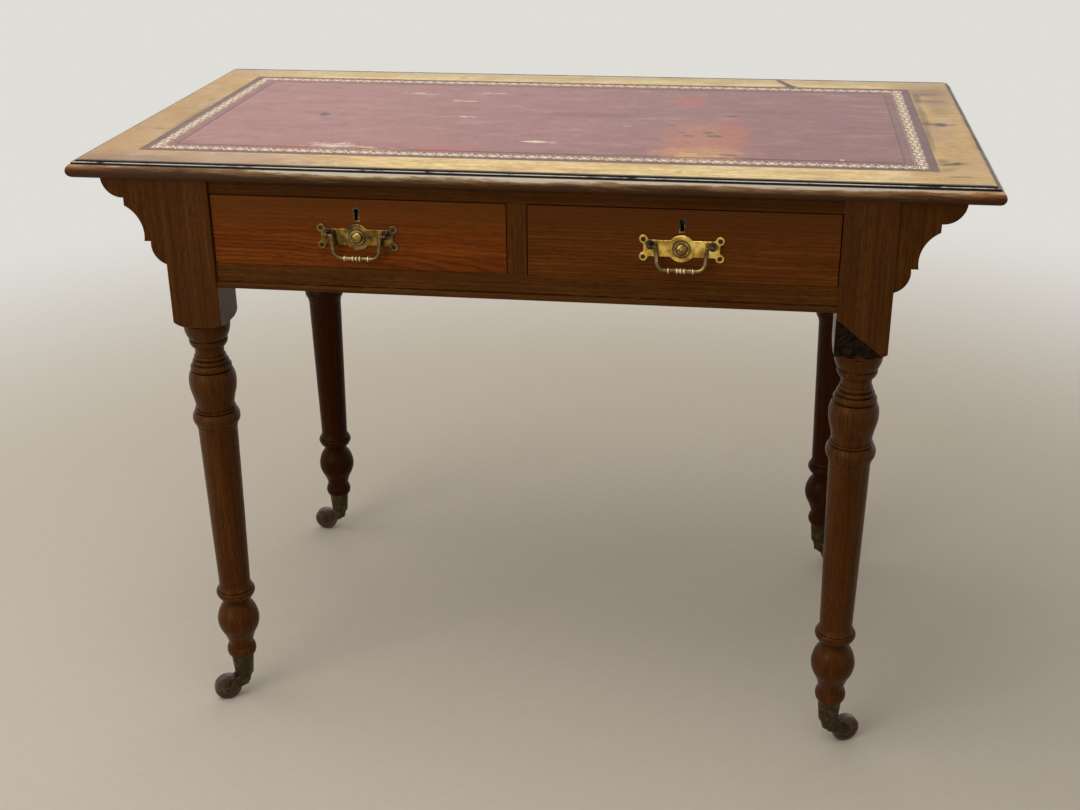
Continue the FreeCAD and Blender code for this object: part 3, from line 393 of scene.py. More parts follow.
def makeFadedTop(look):
    material, tree, shader, place = newMaterial("fadedTop", specular=look["gloss"])
    turned = stretch(tree, place, (1, 1, 1), alongX, look["pith"])
    ring, pore, streak = grainMasks(tree, turned, look)
    colour = ramp(tree, streak, [(0.28, look["shade"]), (0.50, look["body"]), (0.72, look["light"])])
    colour = mixColour(tree, calc(tree, "MULTIPLY", ring, look["ringStrength"]), colour, look["late"])
    along, across, up = axes(tree, place)[:3]
    wide = calc(tree, "ABSOLUTE", along)
    patch = scaledNoise(tree, place, look["patchScale"], 5.0, 0.65)
    colour = mixColour(tree, smoothRange(tree, patch, 0.50, 0.66, 0.0, 0.7), colour, look["orange"])
    mottle = scaledNoise(tree, place, look["mottleScale"], 5.0, 0.7)
    colour = mixColour(tree, smoothRange(tree, mottle, 0.50, 0.66, 0.0, 0.45), colour, look["orange"])
    endward = calc(tree, "MULTIPLY_ADD", calc(tree, "SUBTRACT", patch, 0.5), 0.12, wide)
    colour = mixColour(tree, smoothRange(tree, endward, *look["endsFrom"], 0.0, 0.8), colour, look["ends"])
    colour = mixColour(tree, smoothRange(tree, across, *look["backFrom"], 0.0, 0.6), colour, look["far"])
    fleck = scaledNoise(tree, place, look["fleckScale"], 3.0, 0.65)
    fleck = smoothRange(tree, fleck, 0.57, 0.68, 0.0, 0.55)
    dark = calc(tree, "MAXIMUM", fleck, calc(tree, "MULTIPLY", pore, 0.35))
    colour = mixColour(tree, dark, colour, look["pore"])
    for centre, reach, strength in look["blushes"]:
        spot = spotMask(tree, place, (*centre, topHigh.z), reach, 0, 0.9, 40.0)
        colour = mixColour(tree, calc(tree, "MULTIPLY", spot, strength), colour, look["blush"])
    for centre, reach, degrees, strength in look["stains"]:
        spot = spotMask(tree, place, (*centre, topHigh.z), reach, degrees, 0.9, 170.0)
        colour = mixColour(tree, calc(tree, "MULTIPLY", spot, strength), colour, look["ink"])
    # how far out past the upper arris, and how far down
    outX = calc(tree, "SUBTRACT", wide, topHigh.x - look["arrisIn"])
    outY = calc(tree, "SUBTRACT", calc(tree, "ABSOLUTE", across), topHigh.y - look["arrisIn"])
    out = calc(tree, "MAXIMUM", outX, outY)
    down = calc(tree, "SUBTRACT", topHigh.z, up)
    dirt = smoothRange(tree, noise(tree, place, 34.0, 5.0, 0.7), 0.44, 0.62)
    rim = calc(tree, "MULTIPLY", smoothRange(tree, out, *look["rimFrom"]), calc(tree, "MULTIPLY", dirt, 0.55))
    colour = mixColour(tree, rim, colour, look["grey"])
    # moulded edge: the quirk and step are painted black, painted shade with some dirt, with a pale ledge
    # between them along the front and back, partly rubbed wear and partly painted highlight
    longSide = calc(tree, "GREATER_THAN", outY, outX)
    black = mixColour(tree, longSide, look["endDark"], look["shadedHollow"])
    ledge = scaledNoise(tree, place, look["ledgeScale"], 5.0, 0.7)
    ledge = smoothRange(tree, ledge, 0.36, 0.50)
    ledge = calc(tree, "MULTIPLY", ledge, smoothRange(tree, out, *look["ledgeOut"]))
    mould = mixColour(tree, calc(tree, "MULTIPLY", ledge, longSide), black, look["ledge"])
    mould = mixColour(tree, smoothRange(tree, down, *look["stepDown"]), mould, black)
    # the nose below them is pale along its top, partly rubbed wear and partly painted highlight where it
    # faces up to the light, and grades down to painted shade on its underside; less pale at the left
    noseBandJitter = scaledNoise(tree, place, look["noseBandScale"], 6.0, 0.75)
    drop = calc(tree, "MULTIPLY_ADD", calc(tree, "SUBTRACT", noseBandJitter, 0.5), look["noseBandReach"], down)
    drop = calc(tree, "ADD", drop, smoothRange(tree, along, *look["leftFrom"], 0.0, look["leftDrop"]))
    nose = ramp(tree, smoothRange(tree, drop, *look["noseDown"]), [
        (0.09, look["rubbed"]), (0.20, look["noseTan"]), (0.44, look["noseBrown"]), (0.82, look["noseUndersideShade"])])
    tip = calc(tree, "MULTIPLY", smoothRange(tree, wide, *look["tipFrom"]), 0.45)
    nose = mixColour(tree, tip, nose, look["orange"], "OVERLAY")
    onNose = smoothRange(tree, out, *look["noseOut"])
    onNose = calc(tree, "MAXIMUM", onNose, smoothRange(tree, down, *look["noseSide"]))
    onNose = calc(tree, "MULTIPLY", onNose, smoothRange(tree, down, *look["noseTop"]))
    mould = mixColour(tree, onNose, mould, nose)
    arris = calc(tree, "MULTIPLY_ADD", longSide, look["longArris"], out)
    colour = mixColour(tree, smoothRange(tree, arris, *look["arrisFrom"], 0.0, 0.92), colour, black)
    colour = mixColour(tree, smoothRange(tree, down, *look["flatDown"]), colour, mould)
    rough = smoothRange(tree, noise(tree, place, 30.0, 4.0, 0.6), 0.3, 0.7, 0.40, 0.56)
    height = calc(tree, "MULTIPLY_ADD", pore, -1.0, calc(tree, "MULTIPLY", fleck, -0.6))
    finishShader(tree, shader, colour, rough, height, look["poreDeep"])
    return material


finishes["fadedTop"] = makeFadedTop(fadedTop)
print("faded top ready")


# metals

handleMarks = {  # painted shade: the black hollows round boss and posts, partly old polish round the boss, and the bright rings of the bail
    "postAcross": 0.0349, "postUp": 0.0040, "postReach": 0.0062, "bossReach": (0.0068, 0.0112),
    "blur": 0.0008, "hollowShadeStrength": 0.85,
    "ringRadius": 0.00375, "ringFrom": (0.0028, 0.0033), "gripEnd": (0.0165, 0.0155), "ringWear": 0.6,
}


def spanFrom(tree, place, centre, keep):
    # distance from a centre, along the axes that are kept
    apart = vectorCalc(tree, "MULTIPLY", vectorCalc(tree, "SUBTRACT", place, centre), keep)
    return addNode(tree, "VectorMath", {0: apart}, operation="LENGTH").outputs["Value"]


def makeMetal(name, look):
    material, tree, shader, place = newMaterial(name, specular=look.get("specular", 0.5))
    cloud = noise(tree, place, look["cloudScale"], 5.0, 0.62)
    colour = ramp(tree, cloud, [(0.38, look["dull"]), (0.52, look["body"]), (0.66, look["bright"])])
    held = placeGroup(tree, grimeAndShade, {
        "Vector": place, "Reach": look["reach"], "Scale": look["cloudScale"] * 2.0})["Mask"]
    for centre, inner, outer in look.get("hollows", ()):  # painted shade of the pockets round the posts and in the boss recess, partly old polish in the recess
        span = spanFrom(tree, place, centre, (1.0, 0.0, 1.0))
        beyond = smoothRange(tree, span, inner, inner + handleMarks["blur"])
        within = smoothRange(tree, span, outer, outer - handleMarks["blur"])
        shadedHollow = calc(tree, "MULTIPLY", calc(tree, "MULTIPLY", beyond, within), handleMarks["hollowShadeStrength"])
        held = calc(tree, "MAXIMUM", held, shadedHollow)
    colour = mixColour(tree, calc(tree, "MULTIPLY", held, look["held"]), colour, look["tarnishAndShade"])
    specks = smoothRange(tree, noise(tree, place, look["cloudScale"] * 5.0, 3.0, 0.7), 0.60, 0.72)
    colour = mixColour(tree, calc(tree, "MULTIPLY", specks, look["specks"]), colour, look["tarnishAndShade"])
    worn = placeGroup(tree, edgeWear, {
        "Vector": place, "Radius": look["edgeRadius"], "Patch": look["edgePatch"]})["Mask"]
    if "grip" in look:  # the turned rings of the bail are rubbed bright
        rings = spanFrom(tree, place, look["grip"], (0.0, 1.0, 1.0))
        rings = smoothRange(tree, rings, *handleMarks["ringFrom"])
        near = spanFrom(tree, place, look["grip"], (1.0, 0.0, 0.0))
        near = smoothRange(tree, near, *handleMarks["gripEnd"])
        bright = calc(tree, "MULTIPLY", rings, calc(tree, "MULTIPLY", near, handleMarks["ringWear"]))
        worn = calc(tree, "MAXIMUM", worn, bright)
    colour = mixColour(tree, calc(tree, "MULTIPLY", worn, look["wear"]), colour, look["rubbed"])
    rough = calc(tree, "MULTIPLY_ADD", held, 0.30, smoothRange(tree, cloud, 0.35, 0.65, *look["rough"]))
    metallic = calc(tree, "MULTIPLY_ADD", held, -look["held"] * 0.7, look["metal"], clamp=True)
    tree.links.new(metallic, shader.inputs["Metallic"])
    height = calc(tree, "ADD", cloud, calc(tree, "MULTIPLY", specks, -0.6))
    finishShader(tree, shader, colour, rough, height, look["pit"])
    return material


def middleOf(node):
    low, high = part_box(node)
    return (low + high) / 2


def hollowsOf(side):
    boss = middleOf(f"drawer_{side}_handle_boss")
    hollows = [(boss, *handleMarks["bossReach"])]
    for way in (-1, 1):
        post = boss + Vector((way * handleMarks["postAcross"], 0, handleMarks["postUp"]))
        hollows.append((post, -handleMarks["blur"], handleMarks["postReach"]))
    return hollows


def gripOf(side):
    node = f"drawer_{side}_handle_bail"
    middle = middleOf(node)
    return Vector((middle.x, middle.y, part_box(node)[0].z + handleMarks["ringRadius"]))


yellowBrass = {
    "cloudScale": 75.0, "reach": 0.0035, "held": 0.9, "specks": 0.5, "metal": 0.95, "pit": 0.00006,
    "edgeRadius": 0.0009, "edgePatch": 120.0,
    "dull": (0.30, 0.165, 0.026), "body": (0.60, 0.375, 0.068), "bright": (0.84, 0.58, 0.15),
    "rubbed": (0.90, 0.74, 0.42), "wear": 0.7, "tarnishAndShade": (0.022, 0.014, 0.006), "rough": (0.34, 0.18),
}
rightBrass = dict(yellowBrass, hollows=hollowsOf("right"))
leftBrass = dict(
    yellowBrass, hollows=hollowsOf("left"),
    dull=(0.055, 0.030, 0.006), body=(0.160, 0.088, 0.016), bright=(0.34, 0.205, 0.046))
rightBail = dict(
    yellowBrass, grip=gripOf("right"), wear=0.95,
    dull=(0.090, 0.056, 0.020), body=(0.17, 0.112, 0.042), bright=(0.36, 0.25, 0.11))
leftBail = dict(rightBail, grip=gripOf("left"))
bossBrass = dict(
    yellowBrass, cloudScale=110.0, pit=0.00002, specks=0.25,
    dull=(0.13, 0.072, 0.017), body=(0.28, 0.170, 0.040), bright=(0.60, 0.41, 0.12), rough=(0.17, 0.09))
postBrass = dict(
    yellowBrass, dull=(0.035, 0.022, 0.010), body=(0.085, 0.055, 0.022), bright=(0.26, 0.18, 0.075))
castorBrass = dict(
    yellowBrass, cloudScale=120.0, reach=0.006, specks=0.7, metal=0.7, pit=0.00015, wear=0.2,
    dull=(0.026, 0.017, 0.008), body=(0.048, 0.030, 0.012), bright=(0.10, 0.066, 0.022), rough=(0.55, 0.38))
ironGrey = dict(
    yellowBrass, metal=0.9, rubbed=(0.30, 0.29, 0.27), tarnishAndShade=(0.020, 0.014, 0.010), rough=(0.6, 0.45),
    dull=(0.030, 0.027, 0.024), body=(0.060, 0.056, 0.050), bright=(0.12, 0.115, 0.105))
# painted shade: the lock behind the keyholes is near black, standing in for the dark hollow of the keyhole
lockShadowBlack = dict(
    ironGrey, metal=0.0, wear=0.0, specular=0.05, rough=(0.9, 0.8), tarnishAndShade=(0.004, 0.003, 0.002),
    dull=(0.004, 0.004, 0.004), body=(0.007, 0.006, 0.006), bright=(0.012, 0.011, 0.010))
screwBrass = dict(
    yellowBrass, wear=0.15,
    dull=(0.016, 0.010, 0.005), body=(0.030, 0.019, 0.008), bright=(0.075, 0.050, 0.020))
wheelBrown = dict(
    yellowBrass, cloudScale=70.0, reach=0.004, metal=0.0, held=0.7, specks=0.5, pit=0.0002, wear=0.2,
    rubbed=(0.20, 0.11, 0.07),
    dull=(0.030, 0.012, 0.007), body=(0.060, 0.025, 0.014), bright=(0.11, 0.052, 0.030), rough=(0.5, 0.34))
metalLooks = {
    "rightBrass": rightBrass, "leftBrass": leftBrass, "rightBail": rightBail, "leftBail": leftBail,
    "bossBrass": bossBrass, "postBrass": postBrass, "castorBrass": castorBrass, "ironGrey": ironGrey,
    "lockShadowBlack": lockShadowBlack, "screwBrass": screwBrass, "wheelBrown": wheelBrown,
}
for label, look in metalLooks.items():
    finishes[label] = makeMetal(label, look)
print("metal finishes ready")


# each CAD node takes the first finish whose words start its name or, after a _, stand in it

nodeFinish = (
    ("castor_cup", "castorBrass"), ("castor_horn", "castorBrass"), ("castor_wheel", "wheelBrown"),
    ("table_top", "fadedTop"), ("leg_back", "backLegShadowOak"), ("leg_", "legOak"), ("bracket_", "bracketOak"),
    ("front_top_rail", "shadedOak"), ("front_bottom_rail", "frameOak"), ("drawer_divider", "uprightOak"),
    ("back_rail", "frameOak"), ("side_rail", "deepOak"), ("drawer_runners", "insideDeep"),
    ("drawer_guides", "insideDeep"), ("drawer_kickers", "insideDeep"), ("drawer_stops", "insideWood"),
    ("top_fixing_screws", "ironGrey"),
    ("drawer_left_front", "leftDrawerOak"), ("drawer_right_front", "rightDrawerOak"),
    ("_side_left", "insideDeep"), ("_side_right", "insideDeep"), ("_back", "insideWood"),
    ("_bottom", "insideWood"), ("_escutcheon", "postBrass"),
    ("_lock_bolt", "ironGrey"), ("_lock", "lockShadowBlack"),
    ("_left_handle_plate", "leftBrass"), ("_right_handle_plate", "rightBrass"),
    ("_handle_boss", "bossBrass"), ("_handle_posts", "postBrass"),
    ("_handle_screws", "screwBrass"), ("_left_handle_bail", "leftBail"), ("_right_handle_bail", "rightBail"),
)


def finishOf(node):
    for part, label in nodeFinish:
        if node.startswith(part) or (part.startswith("_") and part in node):
            return finishes[label]
    return finishes["frameOak"]


for name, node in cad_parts.items():
    node.data.materials.clear()
    node.data.materials.append(finishOf(name))
print("CAD nodes dressed")


# modelling helpers

def startPiece():
    if bpy.context.mode != "OBJECT":
        bpy.ops.object.mode_set(mode="OBJECT")
    bpy.ops.object.select_all(action="DESELECT")


def namePiece(name, material):
    piece = bpy.context.active_object
    piece.name = name
    piece.data.name = name
    piece.data.materials.clear()
    piece.data.materials.append(material)
    return piece


def pickVertices(piece, test):
    bpy.ops.object.mode_set(mode="EDIT")
    bpy.ops.mesh.select_mode(type="VERT")
    bpy.ops.mesh.select_all(action="DESELECT")
    bpy.ops.object.mode_set(mode="OBJECT")
    for vertex in piece.data.vertices:
        vertex.select = test(vertex.co)
    bpy.ops.object.mode_set(mode="EDIT")


def applyModifier(piece, kind, **settings):
    modifier = piece.modifiers.new(kind.lower(), kind)
    for key, value in settings.items():
        setattr(modifier, key, value)
    bpy.ops.object.modifier_apply(modifier=modifier.name)


def keepInMesh(piece):
    piece.select_set(True)
    bpy.context.view_layer.objects.active = piece
    bpy.ops.object.transform_apply(location=True, rotation=True, scale=True)


# red leather, let into the top

insetLow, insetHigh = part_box("leather_inset")
leatherPiece = {
    "thickness": 0.0010, "top": insetHigh.z - 0.00012, "cells": (140, 68),
    "blindIn": 0.0345, "blindWidth": 0.0016, "blindDepth": 0.00035, "ripple": 0.00004, "rippleSize": 0.05,
    "margin": 0.0102, "bandWidth": 0.0138, "rimBlur": 0.002, "bandBlur": 0.001, "lineBlur": (0.0020, 0.0006),
    "gloss": 0.20, "litLeftToShadedRight": (-0.42, 0.46), "cloudScale": (2.5, 6.0, 1), "smearScale": (15, 42, 1),
    "scratchScale": (55, 330, 1), "blotScale": (150, 230, 1), "pebbleScale": 850.0, "creaseScale": 260.0,
    "grainDeep": 0.00012, "scratched": ("pale", "yellow"),
    # painted light: left is paler than right because more light falls on the left, and left, right, light and
    # shade are lifted toward dusty pink as a painted sheen over the red leather
    "left": (0.348, 0.152, 0.142), "right": (0.240, 0.097, 0.092), "light": (0.44, 0.230, 0.205),
    "shade": (0.205, 0.076, 0.069), "edge": (0.110, 0.046, 0.044), "orange": (0.44, 0.155, 0.078),
    "yellow": (0.70, 0.40, 0.150), "gold": (0.58, 0.280, 0.110), "pale": (0.76, 0.60, 0.42),
    "red": (0.42, 0.095, 0.066), "ink": (0.050, 0.028, 0.026),
    "wear": (  # centre, reach, strength and tone of each worn or marked place
        ((0.200, -0.100), (0.075, 0.130), 0.85, "orange"), ((0.200, -0.168), (0.078, 0.044), 0.60, "gold"),
        ((0.195, -0.185), (0.055, 0.030), 0.70, "yellow"),
        ((0.235, -0.050), (0.024, 0.120), 0.4, "red"), ((0.171, 0.116), (0.040, 0.034), 0.9, "red"),
        ((-0.239, -0.177), (0.045, 0.024), 1.0, "pale"), ((-0.190, -0.187), (0.060, 0.012), 0.8, "yellow"),
        ((-0.270, -0.185), (0.060, 0.020), 0.45, "orange"), ((-0.104, -0.178), (0.055, 0.020), 0.6, "red"),
        ((-0.111, -0.007), (0.034, 0.006), 1.0, "pale"), ((0.001, -0.132), (0.036, 0.009), 1.0, "pale"),
        ((-0.198, 0.130), (0.040, 0.009), 0.7, "pale"), ((-0.099, 0.140), (0.032, 0.007), 0.7, "pale"),
        ((-0.132, 0.087), (0.022, 0.005), 0.9, "pale"), ((0.361, -0.180), (0.004, 0.005), 1.0, "pale"),
        ((0.100, -0.037), (0.012, 0.003), 0.8, "pale"), ((0.0215, -0.136), (0.010, 0.004), 1.0, "pale"),
        ((0.170, -0.068), (0.009, 0.006), 0.55, "ink"), ((0.180, -0.081), (0.010, 0.007), 0.6, "ink"),
        ((0.204, -0.064), (0.009, 0.008), 0.7, "ink"), ((0.212, -0.080), (0.012, 0.008), 0.8, "ink"),
        ((0.156, -0.026), (0.008, 0.004), 0.5, "ink"),
        ((0.230, 0.031), (0.012, 0.005), 0.85, "ink"), ((0.232, -0.172), (0.016, 0.004), 0.85, "ink"),
        ((0.0445, 0.022), (0.095, 0.022), 0.80, "shade"), ((0.267, 0.059), (0.085, 0.022), 0.80, "shade"),
        ((-0.2963, -0.0109), (0.0080, 0.0095), 1.0, "ink"), ((-0.426, -0.178), (0.020, 0.012), 0.45, "shade"),
    ),
}


def makeLeather(look):
    material, tree, shader, place = newMaterial("redLeather", specular=look["gloss"])
    along, across = axes(tree, place)[:2]
    cloud = scaledNoise(tree, place, look["cloudScale"], 3.0, 0.5)
    # painted shade: the leather darkens toward the right
    towardShadedRight = calc(tree, "MULTIPLY_ADD", calc(tree, "SUBTRACT", cloud, 0.5), 0.18, along)
    colour = mixColour(tree, smoothRange(tree, towardShadedRight, *look["litLeftToShadedRight"]), look["left"], look["right"])
    smears = scaledNoise(tree, place, look["smearScale"], 7.0, 0.72)
    colour = mixColour(tree, smoothRange(tree, smears, 0.50, 0.70, 0.0, 0.50), colour, look["light"])
    colour = mixColour(tree, smoothRange(tree, smears, 0.50, 0.30, 0.0, 0.50), colour, look["shade"])
    scratch = scaledNoise(tree, place, look["scratchScale"], 4.0, 0.7)
    blot = scaledNoise(tree, place, look["blotScale"], 5.0, 0.75)
    fine = smoothRange(tree, scratch, 0.630, 0.70, 0.0, 0.5)
    colour = mixColour(tree, fine, colour, look["light"])
    colour = mixColour(tree, smoothRange(tree, blot, 0.50, 0.70, 0.0, 0.4), colour, look["shade"])
    for centre, reach, strength, tone in look["wear"]:
        spot = spotMask(tree, place, (*centre, insetHigh.z), reach, 0, 1.3, 65.0)
        if tone in look["scratched"]:  # broken into fine scratches
            bared = calc(tree, "MULTIPLY_ADD", spot, 0.14, scratch)
            broken = smoothRange(tree, bared, 0.60, 0.655)
            spot = smoothRange(tree, spot, 0.0, 0.25)
        elif tone == "ink":  # specks
            broken = smoothRange(tree, blot, 0.36, 0.48)
            spot = smoothRange(tree, spot, 0.0, 0.6)
        else:
            broken = smoothRange(tree, blot, 0.34, 0.58, 0.55, 1.0)
        spot = calc(tree, "MULTIPLY", spot, broken)
        spot = calc(tree, "MULTIPLY", spot, strength)
        colour = mixColour(tree, spot, colour, look[tone])
    inX = calc(tree, "SUBTRACT", insetHigh.x, calc(tree, "ABSOLUTE", along))
    inY = calc(tree, "SUBTRACT", insetHigh.y, calc(tree, "ABSOLUTE", across))
    inside = calc(tree, "MINIMUM", inX, inY)
    rim = smoothRange(
        tree, inside, look["margin"] + look["rimBlur"], look["margin"] - look["rimBlur"], 0.0, 0.75)
    colour = mixColour(tree, rim, colour, look["edge"])
    band = smoothRange(tree, inside, look["blindIn"], look["blindIn"] - look["bandBlur"], 0.0, 0.30)
    colour = mixColour(tree, band, colour, look["edge"])
    line = calc(tree, "ABSOLUTE", calc(tree, "SUBTRACT", inside, look["blindIn"]))
    colour = mixColour(tree, smoothRange(tree, line, *look["lineBlur"], 0.0, 0.7), colour, look["edge"])
    pebbles = {"Vector": place, "Scale": look["pebbleScale"]}
    pebbles = addNode(tree, "TexVoronoi", pebbles, feature="SMOOTH_F1").outputs["Distance"]
    crease = noise(tree, place, look["creaseScale"], 4.0, 0.65)
    rough = smoothRange(tree, noise(tree, place, 70.0, 4.0, 0.6), 0.3, 0.7, 0.45, 0.52)
    height = calc(tree, "MULTIPLY_ADD", pebbles, -0.6, crease)
    finishShader(tree, shader, colour, rough, height, look["grainDeep"])
    return material


def makeLeatherSheet(look):
    startPiece()
    columns, rows = look["cells"]
    bpy.ops.mesh.primitive_grid_add(x_subdivisions=columns, y_subdivisions=rows, size=1.0)
    piece = namePiece("leather", makeLeather(look))
    bpy.ops.object.mode_set(mode="EDIT")
    bpy.ops.mesh.select_all(action="SELECT")
    bpy.ops.transform.resize(value=(insetHigh.x - insetLow.x, insetHigh.y - insetLow.y, 1.0))
    bpy.ops.transform.translate(value=(0, 0, look["top"]))
    lineX = insetHigh.x - look["blindIn"]
    lineY = insetHigh.y - look["blindIn"]
    for side in (-1, 1):  # three cuts for each blind line
        for step in (-0.5, 0.0, 0.5):
            for axis, line in ((Vector((1, 0, 0)), lineX), (Vector((0, 1, 0)), lineY)):
                bpy.ops.mesh.select_all(action="SELECT")
                bpy.ops.mesh.bisect(plane_co=axis * side * (line + step * look["blindWidth"]), plane_no=axis)
    near = look["blindWidth"] / 8

    def onLine(co):
        alongSide = abs(abs(co.x) - lineX) < near and abs(co.y) < lineY + near
        alongEnd = abs(abs(co.y) - lineY) < near and abs(co.x) < lineX + near
        return alongSide or alongEnd

    pickVertices(piece, onLine)
    bpy.ops.transform.translate(value=(0, 0, -look["blindDepth"]))
    bpy.ops.object.mode_set(mode="OBJECT")
    ripple = bpy.data.textures.new("leatherRipple", "CLOUDS")
    ripple.noise_scale = look["rippleSize"]
    applyModifier(piece, "DISPLACE", texture=ripple, strength=look["ripple"], mid_level=0.6, direction="Z")
    applyModifier(piece, "SOLIDIFY", thickness=look["thickness"], offset=-1.0)
    bpy.ops.object.shade_smooth_by_angle(angle=math.radians(40))
    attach(piece, "frame")
    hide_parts("leather_inset")
    return piece


leather = makeLeatherSheet(leatherPiece)
print("leather laid")


# gilt border: a running scroll of volutes, leaves and dots

giltBorder = {
    "half": 0.015, "stroke": 0.0012, "stemDegrees": 126.0, "stemSteps": 10, "rise": 0.00012, "foil": 0.00016,
    "centre": (0.0072, -0.0012), "reach": (0.0046, 0.0008), "sweep": (165.0, 800.0), "spiralSteps": 18,
    "taper": 0.975, "eye": 0.0024, "leafWide": 0.0016, "leafLong": 0.0046, "dot": 0.0008, "lift": 0.00004,
    "leaves": ((0.0127, -0.0030, -80.0), (0.0030, 0.0055, 40.0), (0.0120, 0.0055, -40.0)),
    "dotRow": 0.0077, "dotShares": (0.25, 0.75, 1.25, 1.75), "fromEdge": 0.0162,
    "gold": (0.80, 0.62, 0.33), "paleGold": (0.90, 0.78, 0.56), "lost": (0.36, 0.19, 0.13),
    "cloudScale": 40.0, "lostScale": 130.0, "metal": 0.25,
}


def makeGilt(look):
    material, tree, shader, place = newMaterial("gilt")
    cloud = noise(tree, place, look["cloudScale"], 4.0, 0.6)
    colour = ramp(tree, cloud, [(0.35, look["gold"]), (0.65, look["paleGold"])])
    lost = smoothRange(tree, noise(tree, place, look["lostScale"], 5.0, 0.7), 0.55, 0.70, 0.0, 0.8)
    colour = mixColour(tree, lost, colour, look["lost"])
    metallic = calc(tree, "MULTIPLY_ADD", lost, -look["metal"], look["metal"])
    tree.links.new(metallic, shader.inputs["Metallic"])
    rough = smoothRange(tree, cloud, 0.3, 0.7, 0.34, 0.50)
    finishShader(tree, shader, colour, rough, cloud, 0.00003)
    return material


def drawStroke(piece, points, taper, look):
    # one ribbon, its leading edge extruded from point to point and turned to face the next
    ways = [(b - a).normalized() for a, b in zip(points, points[1:])]
    ahead = ways[0]
    bpy.ops.mesh.select_all(action="DESELECT")
    bpy.ops.mesh.primitive_plane_add(size=look["stroke"], location=points[0] - ahead * look["stroke"] / 2,
                                     rotation=(0, 0, math.atan2(ahead.y, ahead.x)))
    bpy.ops.object.mode_set(mode="OBJECT")
    for vertex in piece.data.vertices[-4:]:
        vertex.select = (vertex.co - points[0]).dot(ahead) > -look["stroke"] / 4
    for edge in piece.data.edges:
        edge.select = all(piece.data.vertices[i].select for i in edge.vertices)
    for face in piece.data.polygons:
        face.select = False
    bpy.ops.object.mode_set(mode="EDIT")
    for here, there, way, after in zip(points, points[1:], ways, ways[1:] + ways[-1:]):
        facing = (way + after).normalized()
        turn = math.atan2(ahead.x * facing.y - ahead.y * facing.x, ahead.dot(facing))
        bpy.ops.mesh.extrude_region_move(TRANSFORM_OT_translate={"value": there - here})
        bpy.ops.transform.rotate(value=-turn, orient_axis="Z", center_override=there)
        bpy.ops.transform.resize(value=(taper, taper, 1.0), center_override=there)
        ahead = facing


def addLeaf(place, degrees, look):
    bpy.ops.mesh.select_all(action="DESELECT")
    half = look["leafWide"] / 2
    bpy.ops.mesh.primitive_circle_add(vertices=6, radius=half, fill_type="NGON", location=place)
    bpy.ops.transform.resize(value=(look["leafLong"] / look["leafWide"], 1.0, 1.0), center_override=place)
    bpy.ops.transform.rotate(value=-math.radians(degrees), orient_axis="Z", center_override=place)


def addDot(place, radius):
    bpy.ops.mesh.select_all(action="DESELECT")
    bpy.ops.mesh.primitive_circle_add(vertices=6, radius=radius, fill_type="NGON", location=place)


def makeScroll(look, material):
    # half a repeat, then the same turned over beside it, then the row of dots
    rise = math.radians(look["stemDegrees"]) / 2
    radius = look["half"] / 2 / math.sin(rise)
    stem = []
    for step in range(look["stemSteps"] + 1):
        angle = rise * (1 - 2 * step / look["stemSteps"])
        across = look["half"] / 2 - radius * math.sin(angle)
        stem.append(Vector((across, radius * (math.cos(angle) - math.cos(rise)), 0)))
    spiral = [Vector((0, 0, look["lift"]))]
    for step in range(look["spiralSteps"] + 1):
        share = step / look["spiralSteps"]
        angle = math.radians(look["sweep"][0] + (look["sweep"][1] - look["sweep"][0]) * share)
        reach = look["reach"][0] + (look["reach"][1] - look["reach"][0]) * share
        spiral.append(Vector((look["centre"][0] + reach * math.cos(angle),
                              look["centre"][1] + reach * math.sin(angle), look["lift"])))
    startPiece()
    eye = (*look["centre"], 2 * look["lift"])
    bpy.ops.mesh.primitive_circle_add(vertices=6, radius=look["eye"], fill_type="NGON", location=eye)
    piece = namePiece("giltScroll", material)
    keepInMesh(piece)
    bpy.ops.object.mode_set(mode="EDIT")
    bpy.ops.mesh.select_mode(type="VERT")
    drawStroke(piece, stem, 1.0, look)
    drawStroke(piece, spiral, look["taper"], look)
    for x, y, degrees in look["leaves"]:
        addLeaf((x, y, 2 * look["lift"]), degrees, look)
    bpy.ops.mesh.select_all(action="SELECT")
    bpy.ops.mesh.duplicate()
    bpy.ops.transform.resize(value=(1, -1, 1), center_override=(0, 0, 0))
    bpy.ops.transform.translate(value=(look["half"], 0, 0))
    for share in look["dotShares"]:
        addDot((share * look["half"], look["dotRow"], 2 * look["lift"]), look["dot"])
    bpy.ops.object.mode_set(mode="OBJECT")
    return piece


def makeGiltSide(scroll, name, length, centre, turnDegrees, look):
    startPiece()
    scroll.select_set(True)
    bpy.context.view_layer.objects.active = scroll
    bpy.ops.object.duplicate()
    piece = namePiece(name, scroll.data.materials[0])
    count = round(length / (2 * look["half"]))
    fit = length / count / (2 * look["half"])
    bpy.ops.object.mode_set(mode="EDIT")
    bpy.ops.mesh.select_all(action="SELECT")
    bpy.ops.transform.resize(value=(fit, 1, 1), center_override=(0, 0, 0))
    bpy.ops.object.mode_set(mode="OBJECT")
    applyModifier(piece, "ARRAY", count=count, use_relative_offset=False, use_constant_offset=True,
                  constant_offset_displace=(length / count, 0, 0))
    applyModifier(piece, "SOLIDIFY", thickness=look["foil"], offset=0.0)
    bpy.ops.object.mode_set(mode="EDIT")
    bpy.ops.mesh.select_all(action="SELECT")
    bpy.ops.mesh.normals_make_consistent(inside=False)
    bpy.ops.object.mode_set(mode="OBJECT")
    turn = math.radians(turnDegrees)
    back = Vector((math.cos(turn), math.sin(turn), 0)) * length / 2
    piece.rotation_euler = (0, 0, turn)
    piece.location = Vector((*centre, leatherPiece["top"] + look["rise"])) - back
    keepInMesh(piece)
    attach(piece, "frame")
    return piece


